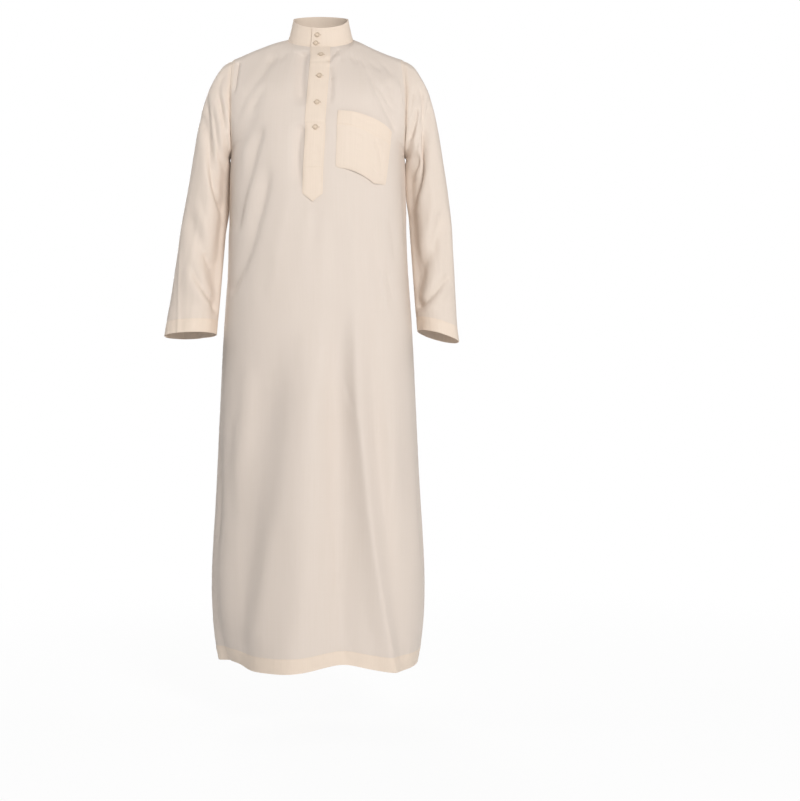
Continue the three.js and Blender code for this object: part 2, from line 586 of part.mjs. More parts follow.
function roundButton(name, point, normal) {
  const { radius, thick, dish, rim } = button;
  const profile = [
    [0, 0],
    [radius - 0.5, 0],
    [radius, 0.6],
    [radius, thick - 0.5],
    [radius - 0.5, thick],
    [radius - rim, thick],
    [radius - rim - 0.7, thick - dish],
    [0, thick - dish],
  ].map(([r, h]) => new THREE.Vector2(r, h));
  const mesh = new THREE.Mesh(new THREE.LatheGeometry(profile, 14), buttonPlastic);
  mesh.name = name;
  mesh.position.copy(point).addScaledVector(normal, lap);
  mesh.quaternion.setFromUnitVectors(vec(0, 1, 0), normal);
  return mesh;
}

// The place on a grid's column at a height, with the normal of the faces around it.
function seatOn(grid, column, z) {
  const j = grid.findIndex((line) => line[column].z <= z);
  const t = (grid[j - 1][column].z - z) / (grid[j - 1][column].z - grid[j][column].z);
  const point = grid[j - 1][column].clone().lerp(grid[j][column], t);
  const across = grid[j][column + 1].clone().sub(grid[j][column - 1]);
  const down = grid[j][column].clone().sub(grid[j - 1][column]);
  return { point, normal: down.cross(across).normalize() };
}

// The place on the collar's front at a share of its height and a distance across from its centre.
function onCollar({ grid, distances }, share, across) {
  const i = distances.findIndex((distance) => distance > across) - 1;
  const u = (across - distances[i]) / (distances[i + 1] - distances[i]);
  const j = Math.min(collar.levels - 1, Math.floor((1 - share) * collar.levels));
  const t = (1 - share) * collar.levels - j;
  const [a, b, c, d] = [grid[j][i], grid[j][i + 1], grid[j + 1][i], grid[j + 1][i + 1]];
  const point = a.clone().lerp(b, u).lerp(c.clone().lerp(d, u), t);
  return { point, normal: c.clone().sub(a).cross(b.clone().sub(a)).normalize() };
}

const robe = new THREE.Group();
robe.add(shell("front_panel", front.outer, front.inner, false, cloth));
robe.add(shell("back_panel", back.outer, back.inner, false, cloth));
sleeves.forEach((one) => robe.add(sleeve(one)));
const band = collarBand();
const strip = placketStrip();
robe.add(band.mesh, strip.mesh, chestPocket());
placketButtons.forEach((z, i) => {
  const { point, normal } = seatOn(strip.outer, 2, z);
  robe.add(roundButton(`placket_button_${i + 1}`, point, normal));
});
collarButtons.forEach(({ share, across }, i) => {
  const { point, normal } = onCollar(band, share, across);
  robe.add(roundButton(`collar_button_${i + 1}`, point, normal));
});

export default robe;
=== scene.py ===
# Ankle-length cream robe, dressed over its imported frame.
# Lengths in the tables are millimetres: x to the wearer's left, z up, the front faces -y.
import math

import bmesh
import bpy
import numpy as np
from mathutils import Matrix, Vector


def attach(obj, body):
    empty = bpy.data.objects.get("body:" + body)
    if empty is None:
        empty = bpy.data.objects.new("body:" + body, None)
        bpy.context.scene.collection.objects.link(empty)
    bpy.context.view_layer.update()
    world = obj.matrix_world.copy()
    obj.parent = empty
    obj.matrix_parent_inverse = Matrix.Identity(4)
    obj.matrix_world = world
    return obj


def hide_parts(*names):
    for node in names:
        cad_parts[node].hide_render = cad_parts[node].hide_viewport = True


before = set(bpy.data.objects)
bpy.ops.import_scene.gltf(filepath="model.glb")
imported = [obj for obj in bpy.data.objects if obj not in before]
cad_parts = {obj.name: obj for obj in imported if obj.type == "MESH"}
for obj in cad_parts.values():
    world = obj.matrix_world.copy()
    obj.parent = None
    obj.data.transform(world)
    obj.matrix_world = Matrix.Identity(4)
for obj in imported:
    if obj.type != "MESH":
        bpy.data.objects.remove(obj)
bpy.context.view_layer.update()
print("frame loaded:", len(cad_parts), "nodes")


def mix(a, b, t):
    return a + (b - a) * t


def smooth(t):
    t = np.clip(t, 0, 1)
    return t * t * (3 - 2 * t)


def bell(far, width):
    return np.exp(-((far / width) ** 2))


def unit(vectors):
    length = np.linalg.norm(vectors, axis=-1, keepdims=True)
    return vectors / np.maximum(length, 1e-9)


def lengthsAlong(points):  # how far each point lies along its line
    return np.concatenate([[0], np.cumsum(np.linalg.norm(np.diff(points, axis=0), axis=1))])


def bow(start, bend, end):  # a short path that is drawn towards its bend
    t = np.linspace(0, 1, 5)[:, None]
    return (1 - t) ** 2 * np.array(start) + 2 * t * (1 - t) * np.array(bend) + t**2 * np.array(end)


def between(a, slopeA, b, slopeB, t):  # a run from a to b that keeps both slopes
    h = [2 * t**3 - 3 * t**2 + 1, t**3 - 2 * t**2 + t, 3 * t**2 - 2 * t**3, t**3 - t**2]
    return a * h[0] + slopeA * h[1] + b * h[2] + slopeB * h[3]


def linked(name, data):  # a new object in the scene
    made = bpy.data.objects.new(name, data)
    bpy.context.scene.collection.objects.link(made)
    return made


def wander(u, v, cellU, cellV, seed, wrap=None):  # smooth unevenness from -1 to 1 in cells of that size
    lattice = np.random.RandomState(seed).uniform(-1, 1, (256, 256))
    a = u / cellU
    b = v / cellV
    i = np.floor(a).astype(int)
    j = np.floor(b).astype(int)
    s = smooth(a - i)
    t = smooth(b - j)
    first = i % (wrap or 256)
    second = (i + 1) % (wrap or 256)
    upper = mix(lattice[first, j % 256], lattice[second, j % 256], s)
    lower = mix(lattice[first, (j + 1) % 256], lattice[second, (j + 1) % 256], s)
    return mix(upper, lower, t)


# the body is formed as in the frame: sections from the shoulders down to the hem
neck = {
    "x": 6,
    "y": 4,
    "halfWidth": 70,
    "frontReach": 60,
    "frontFall": 30,
    "backReach": 58,
    "backRise": 18,
    "arc": 107.5,
    "share": 0.47,  # of a panel's half width at its top edge
}
shoulder = dict(x=183, y=2, z=-46, sagRight=-3, sagLeft=3)
squareness = 0.03
# down is the way from the shoulders and steps the fine rows to the next section; then heights, half width,
# depths, edge, turn and lean, or near the shoulders how far it moves out and down at its side and middle
bodyRows = [
    dict(down=0, steps=7),
    dict(down=20, steps=7, soften=0.05, side=(20, 5), front=(14, 16), back=(9, 17)),
    dict(down=40, steps=16, soften=0.11, side=(36, 18), front=(26, 31), back=(17, 36)),
    dict(down=88, steps=20, z=-113, sideZ=-120, width=187, front=-101, back=94, edge=51, turn=56, lean=2),
    dict(down=150, steps=10, z=-174, sideZ=-193, width=186, edge=57, turn=66, front=-119, back=110, lean=-3),
    dict(down=182, steps=10, z=-206, sideZ=-238, width=185, front=-126, back=114, edge=38, turn=76, lean=-5),
    dict(down=212, steps=14, z=-238, sideZ=-255, width=186, front=-130, back=115, lean=-6),
    dict(down=276, steps=16, z=-302, sideZ=-320, width=187, front=-134, back=112, lean=-8),
    dict(down=358, steps=19, z=-384, sideZ=-396, width=189, front=-139, back=107, lean=-8),
    dict(down=460, steps=19, z=-486, sideZ=-492, width=193, front=-143, back=107, lean=-4),
    dict(down=567, steps=18, z=-593, sideZ=-595, width=200, front=-146, back=118, lean=0),
    dict(down=676, steps=18, z=-702, sideZ=-702, width=206, front=-147, back=134, lean=0),
    dict(down=784, steps=30, z=-810, sideZ=-810, width=211, front=-150, back=144, lean=0),
    dict(down=968, steps=24, z=-994, sideZ=-994, width=220, front=-156, back=154, lean=0),
    dict(down=1113, steps=16, z=-1139, sideZ=-1139, width=228, front=-162, back=162, lean=0),
    dict(down=1205, steps=14, z=-1231, sideZ=-1231, width=227, front=-167, back=167, lean=0),
    dict(down=1278, steps=15, z=-1304, sideZ=-1300, width=220, front=-170, back=170, lean=0),
    dict(down=1310, steps=1, z=-1336, sideZ=-1332, width=214, front=-171, back=172, lean=0),
]
underarm = 6
hemLift = dict(x=48, height=18, width=62, reach=130)
sidePocket = dict(topZ=-510, bottomZ=-706, gape=2.6)


def neckSeam(angle, face):
    angle = np.asarray(angle, float)
    reach = -neck["frontReach"] if face < 0 else neck["backReach"]
    rise = -neck["frontFall"] if face < 0 else neck["backRise"]
    x = neck["x"] + neck["halfWidth"] * np.sin(angle)
    return np.stack([x, neck["y"] + reach * np.cos(angle), rise * np.cos(angle)], -1)


def topEdge(s, face):
    side = np.sign(s)
    share = np.minimum(1, np.abs(s))
    onNeck = neckSeam(side * np.minimum(share, neck["share"]) / neck["share"] * math.pi / 2, face)
    t = np.clip((share - neck["share"]) / (1 - neck["share"]), 0, 1)
    tip = np.stack([side * shoulder["x"], 0 * s + shoulder["y"], 0 * s + shoulder["z"]], -1)
    seam = mix(neckSeam(side * math.pi / 2, face), tip, t[:, None])
    seam[:, 2] -= np.where(side < 0, shoulder["sagRight"], shoulder["sagLeft"]) * np.sin(t * math.pi)
    return np.where((share <= neck["share"])[:, None], onNeck, seam)


def sectionPoint(k, s, face):
    row = bodyRows[k]
    if k == 0:
        return topEdge(s, face)
    side = np.sign(s)
    share = np.abs(s)
    if "soften" in row:
        toShoulder = smooth((share - 0.1) / 0.5)
        nearNeck = row["front"] if face < 0 else row["back"]
        out = mix(nearNeck[0], row["side"][0], toShoulder)
        drop = mix(nearNeck[1], row["side"][1], toShoulder)
        reach = np.minimum(row["soften"], 1 - share)
        above = (topEdge(s - reach, face) + topEdge(s, face) + topEdge(s + reach, face)) / 3
        return above + np.stack([0 * s, face * out, -drop], -1)
    edge = row.get("edge", 0)
    turn = math.radians(row.get("turn", 90))
    wide = lambda a: np.sin(a) + squareness * np.sin(3 * a)
    deep = lambda a: np.cos(a) - squareness * np.cos(3 * a)
    bulge = (deep(share * turn) - deep(turn)) / (deep(0) - deep(turn))
    x = side * row["width"] * wide(share * turn) / wide(turn) + row["lean"] * (1 - share**2)
    y = mix(face * edge, row["front"] if face < 0 else row["back"], bulge)
    return np.stack([x, y, mix(row["z"], row["sideZ"], share**2.4)], -1)


def bodyPoint(k, t, s, face):
    last = len(bodyRows) - 1

    def run(a, b):
        apart = bodyRows[b]["down"] - bodyRows[a]["down"]
        return (sectionPoint(b, s, face) - sectionPoint(a, s, face)) / apart

    def slope(at, below):
        found = run(max(0, at - 1), min(last, at + 1))
        if at == underarm:
            found = mix(found, run(at, at + 1) if below else run(at - 1, at), (np.abs(s) ** 8)[:, None])
        return found

    if t == 0:
        return sectionPoint(k, s, face)
    gap = bodyRows[k + 1]["down"] - bodyRows[k]["down"]
    start = sectionPoint(k, s, face)
    stop = sectionPoint(k + 1, s, face)
    return between(start, slope(k, True) * gap, stop, slope(k + 1, False) * gap, t)


def gridNormals(grid, closed=False):
    if closed:  # the last column repeats the first
        across = np.roll(grid[:, :-1], -1, 1) - np.roll(grid[:, :-1], 1, 1)
        across = np.concatenate([across, across[:, :1]], 1)
    else:
        across = np.gradient(grid, axis=1)
    return unit(np.cross(np.gradient(grid, axis=0), across))


def smoothLine(path, pieces=7):  # a curve through the points of a path
    points = np.array(path, float)
    ends = np.concatenate([[2 * points[0] - points[1]], points, [2 * points[-1] - points[-2]]])
    line = []
    for i in range(len(points) - 1):
        a, b, c, d = ends[i : i + 4]
        for t in np.arange(pieces) / pieces:
            bend = (2 * a - 5 * b + 4 * c - d) * t**2 + (3 * b - a - 3 * c + d) * t**3
            line.append(0.5 * (2 * b + (c - a) * t + bend))
    return np.array([*line, points[-1]])


def crease(x, z, path, height, left, right, crisp=2.0, fade=(0.3, 0.3)):
    # left and right are its breadths on the two sides of a path that runs down
    line = smoothLine(path)
    reach = 3 * max(left, right)
    low = line.min(0) - reach
    high = line.max(0) + reach
    near = (x > low[0]) & (x < high[0]) & (z > low[1]) & (z < high[1])
    px = x[near]
    pz = z[near]
    best = np.full(px.shape, 1e9)
    along = np.zeros(px.shape)
    side = np.zeros(px.shape)
    for i in range(len(line) - 1):
        (ax, az), (bx, bz) = line[i], line[i + 1]
        dx = bx - ax
        dz = bz - az
        u = np.clip(((px - ax) * dx + (pz - az) * dz) / (dx * dx + dz * dz), 0, 1)
        far = np.hypot(px - ax - u * dx, pz - az - u * dz)
        closer = far < best
        best = np.where(closer, far, best)
        along = np.where(closer, (i + u) / (len(line) - 1), along)
        side = np.where(closer, dx * (pz - az) - dz * (px - ax), side)
    width = np.where(side > 0, right, left)
    start = smooth(along / max(fade[0], 1e-3)) if fade[0] else 1
    end = smooth((1 - along) / max(fade[1], 1e-3)) if fade[1] else 1
    raised = np.zeros(x.shape)
    raised[near] = height * np.exp(-((best / width) ** crisp)) * start * end
    return raised


def creases(x, z, table):
    return sum((crease(x, z, *one) for one in table), np.zeros(x.shape))


def clothGrid(outer, inner, normals, across, down, doubled, **more):  # across and down lay it out flat
    uv = np.stack([across, down], -1) * 0.001
    return dict(outer=outer, inner=inner, normals=normals, uv=uv, doubled=doubled, **more)


def seamDips(kit, fromSeam, fromHem, pull):  # a dip at seam and hem stitches, and cloth that pulls at them
    dip = -kit["seamDip"] * bell(fromSeam, kit["dipWidth"])
    dip += kit["pucker"] * pull * np.exp(-fromSeam / kit["puckerReach"])
    return dip - kit["hemDip"] * bell(fromHem - kit["hemDepth"] + 1, kit["dipWidth"])


def innerFace(kit, outer, normals, fromSeam, fromHem):  # and how much the cloth shows as doubled
    hem = smooth((kit["hemDepth"] + 1 - fromHem) / 1.5)
    inner = outer - normals * mix(kit["thick"], kit["hemThick"], hem)[..., None]
    allowance = kit["allowance"] * smooth(1 - (fromSeam - kit["allowanceWidth"]) / 2)
    return inner, np.maximum(hem, allowance)


rimBulge = 0.3  # of the thickness
weld = 2e-6
sharpFrom = math.radians(55)


def shellObject(name, grid, closed=False):
    # a thin closed shell between a grid's two faces, with a rounded rim; its uv is in metres
    outer = grid["outer"]
    rows, cols = outer.shape[:2]
    index = np.arange(rows * cols).reshape(rows, cols)
    a, b, c, d = index[:-1, :-1], index[1:, :-1], index[1:, 1:], index[:-1, 1:]
    faces = np.stack([a, b, c, d], -1).reshape(-1, 4)
    count = rows * cols
    faces = np.concatenate([faces, faces[:, ::-1] + count])
    if closed:
        loops = [index[-1, :], index[0, ::-1]]
    else:
        around = [index[:, 0], index[-1, 1:], index[-2::-1, -1], index[0, -2::-1]]
        loops = [np.concatenate(around)]
    outerFlat = outer.reshape(-1, 3)
    innerFlat = grid["inner"].reshape(-1, 3)
    spread = unit(outerFlat - innerFlat)
    points = [outerFlat, innerFlat]
    source = [np.arange(count), np.arange(count)]
    base = 2 * count
    for loop in loops:
        along = unit(np.gradient(outerFlat[loop], axis=0))
        away = np.cross(along, spread[loop])
        thick = np.linalg.norm(outerFlat[loop] - innerFlat[loop], axis=-1, keepdims=True)
        points.append((outerFlat[loop] + innerFlat[loop]) / 2 - away * thick * rimBulge)
        source.append(loop)
        m = base + np.arange(len(loop))
        p = loop
        faces = np.concatenate([faces, np.stack([p[1:], p[:-1], m[:-1], m[1:]], -1)])
        faces = np.concatenate([faces, np.stack([m[1:], m[:-1], p[:-1] + count, p[1:] + count], -1)])
        base += len(loop)
    points = np.concatenate(points) * 0.001
    source = np.concatenate(source)
    tri = points[faces]
    volume = np.einsum("ij,ij->", tri[:, 0], np.cross(tri[:, 1], tri[:, 2]))
    volume += np.einsum("ij,ij->", tri[:, 0], np.cross(tri[:, 2], tri[:, 3]))
    if volume < 0:
        faces = faces[:, ::-1]
    mesh = bpy.data.meshes.new(name)
    mesh.from_pydata(points.tolist(), [], faces.tolist())
    layer = mesh.uv_layers.new(name="cut")
    corners = np.zeros(len(mesh.loops), int)
    mesh.loops.foreach_get("vertex_index", corners)
    layer.data.foreach_set("uv", grid["uv"].reshape(-1, 2)[source[corners]].astype(np.float32).ravel())
    layers = mesh.attributes.new("doubled", "FLOAT", "POINT")
    layers.data.foreach_set("value", grid["doubled"].reshape(-1)[source].astype(np.float32))
    work = bmesh.new()
    work.from_mesh(mesh)
    bmesh.ops.remove_doubles(work, verts=work.verts, dist=weld)
    work.to_mesh(mesh)
    work.free()
    mesh.polygons.foreach_set("use_smooth", [True] * len(mesh.polygons))
    mesh.set_sharp_from_angle(angle=sharpFrom)
    return linked(name, mesh)


panelCloth = {
    "columns": ((21, 5), (107.5, 20), (168, 14)),  # even columns out to these distances
    "outerColumns": 36,
    "thick": 0.8,
    "hemThick": 1.7,
    "hemDepth": 31,
    "seamDip": 0.9,
    "dipWidth": 2.2,
    "shoulderDip": 0.5,
    "pucker": 0.45,
    "puckerReach": 12,
    "hemDip": 0.4,
    "hemRipple": 0.8,
    "hemWave": 0.9,
    "hemSway": 1.6,
    "allowance": 0.55,  # how much the seam allowances show as a second layer
    "allowanceWidth": 5,
    "unevenness": 0.9,
    "rough": (((62, 170), 1.3), ((27, 80), 0.5), ((12, 34), 0.14)),  # size of its cells, share
    "underSleeve": dict(swell=1.6, fromZ=-254, toZ=-430, spread=20),  # its sides swell against the sleeves
    "seeds": (3, 7),
    "creaseGain": 1.4,
    "calm": (42, 66),  # large folds fade out this far from the side edges and the top
    "creaseCalm": (12, 7),
    "sideCalm": 14,
    "roughCalm": (20, 30),
    "puckerCell": (40, 9),
    "rippleCell": (8, 60),
    "waveCell": (46, 90),
    "swayCell": (70, 500),
    "waveReach": 70,  # how far above the hem it waves and sways
    "swayReach": 60,
}
frontFolds = [  # the frame's large folds: start, bend, end, height, breadth to the left and to the right
    ((78, -480), (72, -910), (150, -1370), 14, 22),
    ((-8, -570), (-14, -970), (-62, -1370), 15, 46),
    ((-88, -610), (-120, -930), (-196, -1370), -16, 60, 46),
    ((-186, -900), (-196, -1120), (-200, -1370), -8, 34, 80),
    ((-146, -620), (-176, -960), (-176, -1370), -6, 42),
    ((-146, -680), (-166, -800), (-176, -960), 3, 16),
    ((33, -610), (39, -1010), (59, -1370), -11, 28, 31),
    ((141, -570), (158, -846), (146, -1070), 6, 22),
    ((-104, -262), (-124, -400), (-180, -540), -4, 22),
    ((-128, -272), (-146, -390), (-178, -480), 2, 20),
    ((-116, -115), (-142, -175), (-168, -260), -6, 17),
    ((134, -110), (154, -165), (176, -240), -5, 15),
]
backFolds = [
    ((-70, -330), (-92, -850), (-120, -1370), 15, 32),
    ((66, -360), (84, -850), (104, -1370), 14, 34),
    ((-8, -420), (-14, -900), (-20, -1370), -15, 34),
    ((-140, -560), (-160, -950), (-176, -1370), -10, 22),
    ((138, -600), (152, -950), (166, -1370), -10, 24),
    ((30, -800), (36, -1080), (40, -1370), 8, 24),
    ((-110, -130), (-140, -210), (-172, -340), -7, 19),
    ((112, -130), (142, -210), (172, -340), -7, 19),
    ((-100, -440), (-40, -480), (40, -450), -5, 22),
]
frontCreases = [  # path, height, breadth to the left and to the right as seen from the front, crispness
    # skirt, right leg
    ([(-62, -640), (-64, -770), (-66, -905), (-76, -985), (-95, -1060), (-116, -1150), (-137, -1240),
      (-160, -1300)], 4.6, 34, 34, 1.8, (0.3, 0.12)),
    ([(-172, -760), (-190, -850), (-198, -960), (-196, -1080)], -2.4, 14, 13, 1.8),
    ([(-132, -680), (-148, -800), (-158, -940)], 1.4, 16, 16, 1.8),
    ([(-96, -470), (-104, -520), (-122, -575)], -1.3, 12, 11, 1.8),
    # skirt, left leg
    ([(72, -545), (73, -660), (75, -777), (87, -880), (101, -1008), (115, -1111), (131, -1214),
      (148, -1330)], 4.6, 10, 15, 1.5, (0.35, 0.0)),
    ([(58, -735), (64, -775), (75, -810)], -1.2, 3, 5, 1.6),
    ([(112, -700), (120, -850), (140, -1010), (158, -1180)], -2.6, 14, 16, 2.0),
    ([(148, -790), (151, -900), (150, -1020)], 2.4, 12, 14, 1.8),
    ([(40, -1128), (38, -1146), (41, -1168)], -1.6, 5, 5, 1.6),
    ([(184, -860), (190, -1000), (186, -1170)], -1.3, 14, 14, 2.0),
    ([(76, -360), (74, -470), (77, -560)], 1.6, 12, 16, 1.7),
    # trunk: from the right shoulder to the hip
    ([(-74, -42), (-101, -64), (-117, -90), (-138, -119), (-156, -146), (-168, -176),
      (-173, -208)], -3.2, 13, 8, 1.7, (0.15, 0.3)),
    ([(-104, -112), (-120, -134), (-136, -160), (-142, -184)], -1.5, 8, 6, 1.7),
    ([(-114, -192), (-121, -226), (-131, -262), (-142, -303), (-152, -337), (-160, -368),
      (-167, -406), (-171, -430)], -5.2, 17, 7.5, 1.8, (0.16, 0.2)),
    ([(-100, -280), (-104, -315), (-111, -350), (-118, -380), (-127, -408), (-134, -438),
      (-150, -482), (-172, -530), (-186, -560)], -4.0, 15, 8, 1.8, (0.2, 0.1)),
    ([(-140, -210), (-150, -250), (-158, -300)], 1.8, 9, 9, 1.7),
    ([(-60, -300), (-72, -400), (-96, -500), (-120, -600)], 1.4, 15, 18, 1.8),
    ([(-168, -54), (-173, -88), (-179, -134)], -3.6, 5, 4, 1.7, (0.1, 0.25)),
    # trunk: left side
    ([(140, -495), (150, -540), (160, -592)], -1.6, 5, 7, 1.6),
    ([(128, -500), (136, -548), (146, -604)], 1.8, 4, 6, 1.5),
    ([(150, -380), (158, -440), (166, -500)], -2.0, 9, 10, 1.8),
    ([(118, -420), (120, -470), (126, -540)], -1.6, 10, 10, 1.8),
    ([(28, -380), (34, -460), (30, -560)], -1.4, 16, 18, 2.0),
    # off the left armhole
    ([(96, -68), (108, -96), (118, -122), (129, -146), (143, -172), (158, -198),
      (166, -216)], -2.9, 6, 6, 1.6, (0.2, 0.15)),
    ([(112, -96), (128, -122), (144, -146), (160, -170), (168, -196)], -2.3, 6, 5, 1.6),
    ([(146, -98), (160, -132), (166, -172)], -3.4, 10, 8, 1.8),
    ([(166, -92), (173, -130), (178, -166)], 1.8, 4, 4, 1.5),
    ([(118, -116), (134, -142), (150, -170)], 1.6, 4, 4, 1.5),
    # shoulders, just under their seams
    ([(68, -44), (73, -56), (82, -72)], -2.2, 4, 6, 1.6),
    ([(84, -50), (92, -62), (100, -78)], -1.8, 4, 6, 1.6),
    ([(104, -58), (122, -72), (140, -84)], -1.8, 6, 7, 1.7),
    ([(126, -56), (146, -72), (160, -96)], -1.6, 6, 6, 1.7),
    ([(-66, -34), (-72, -48), (-80, -60)], -2.0, 6, 5, 1.6),
    ([(-86, -42), (-96, -52), (-112, -62)], -1.6, 6, 6, 1.6),
    # beside the placket and under the collar
    ([(25, -72), (28, -100), (28, -130), (24, -176)], -2.5, 4, 4.5, 1.7, (0.1, 0.3)),
    ([(34, -90), (36, -125), (34, -170)], 1.4, 3.5, 6, 1.6),
    ([(19, -68), (28, -56), (39, -41), (46, -32)], -2.6, 3.5, 4.5, 1.6, (0.1, 0.15)),
    ([(28, -72), (40, -57), (51, -43)], 1.1, 5, 6, 1.6),
    ([(44, -40), (50, -52), (54, -66)], -1.4, 4, 4, 1.6),
    ([(-28, -36), (-32, -70), (-34, -115), (-31, -170)], -7.2, 17, 8.5, 1.9, (0.1, 0.2)),
    ([(-31, -202), (-37, -232), (-41, -262), (-41, -290), (-39, -320),
      (-37, -348)], -5.4, 13, 7.5, 1.9, (0.1, 0.35)),
    ([(-2, -372), (-6, -420), (-8, -480)], -1.2, 12, 12, 2.0),
]
backCreases = [
    ([(-60, -420), (-74, -600), (-90, -850), (-104, -1100),
      (-122, -1330)], 4.5, 12, 22, 1.6, (0.25, 0.0)),
    ([(-34, -520), (-42, -760), (-54, -1000), (-62, -1330)], -4.0, 14, 16, 1.9, (0.3, 0.0)),
    ([(52, -400), (66, -640), (80, -900), (92, -1120), (106, -1330)], 4.5, 20, 11, 1.6, (0.25, 0.0)),
    ([(20, -640), (24, -850), (34, -1100), (38, -1330)], -3.4, 14, 14, 1.9, (0.3, 0.0)),
    ([(-128, -620), (-148, -820), (-160, -1040), (-168, -1240)], -4.2, 12, 14, 1.8),
    ([(-150, -700), (-172, -900), (-184, -1100)], 3.2, 11, 13, 1.7),
    ([(124, -640), (140, -860), (152, -1080), (160, -1280)], -4.2, 13, 12, 1.8),
    ([(150, -760), (170, -940), (182, -1120)], 3.0, 12, 11, 1.7),
    ([(0, -760), (4, -900), (-2, -1060)], 2.2, 14, 14, 1.7),
    ([(-150, -150), (-140, -220), (-120, -300), (-96, -370)], -3.0, 9, 11, 1.8),
    ([(-160, -200), (-156, -280), (-140, -380)], 2.6, 8, 10, 1.7),
    ([(150, -150), (142, -220), (124, -300), (98, -380)], -3.0, 11, 9, 1.8),
    ([(162, -210), (158, -290), (146, -370)], 2.4, 9, 8, 1.7),
    ([(-120, -400), (-70, -432), (-10, -440), (60, -424)], -2.6, 10, 12, 1.8),
    ([(-90, -476), (-30, -500), (40, -496), (104, -466)], -2.4, 10, 13, 1.8),
    ([(-70, -452), (0, -468), (74, -448)], 2.2, 8, 10, 1.7),
    ([(-60, -60), (-76, -110), (-96, -160)], -1.8, 9, 10, 1.8),
    ([(64, -60), (80, -104), (104, -150)], -1.8, 10, 9, 1.8),
    ([(-30, -30), (0, -40), (34, -30)], -1.4, 7, 9, 1.8),
    ([(110, -520), (130, -600), (142, -700)], 2.2, 9, 10, 1.7),
    ([(-112, -500), (-132, -590), (-146, -690)], 2.2, 9, 10, 1.7),
]
sideCreases = {  # for each side and face; distance from the side seam, and z
    (-1, -1): [
        ([(44, -300), (30, -360), (34, -440)], -2.2, 8, 10, 1.8),
        ([(30, -820), (40, -960), (34, -1120)], -3.0, 11, 12, 1.8),
    ],
    (-1, 1): [
        ([(40, -330), (32, -400), (38, -470)], -2.0, 8, 10, 1.8),
        ([(26, -760), (34, -900), (30, -1080)], -3.0, 11, 12, 1.8),
    ],
    (1, -1): [
        ([(46, -300), (34, -380), (40, -470)], -2.2, 9, 9, 1.8),
        ([(34, -860), (44, -1010), (36, -1180)], -3.2, 12, 12, 1.8),
    ],
    (1, 1): [
        ([(42, -310), (30, -390), (36, -480)], -2.2, 9, 9, 1.8),
        ([(30, -800), (40, -960), (34, -1140)], -3.0, 11, 12, 1.8),
    ],
}


def bentFold(x, z, start, bend, end, height, left, right=None):
    fadeOut = 0 if end[1] < bodyRows[-1]["z"] else 0.3
    return crease(x, z, bow(start, bend, end), height, left, right or left, 2.0, (0.3, fadeOut))


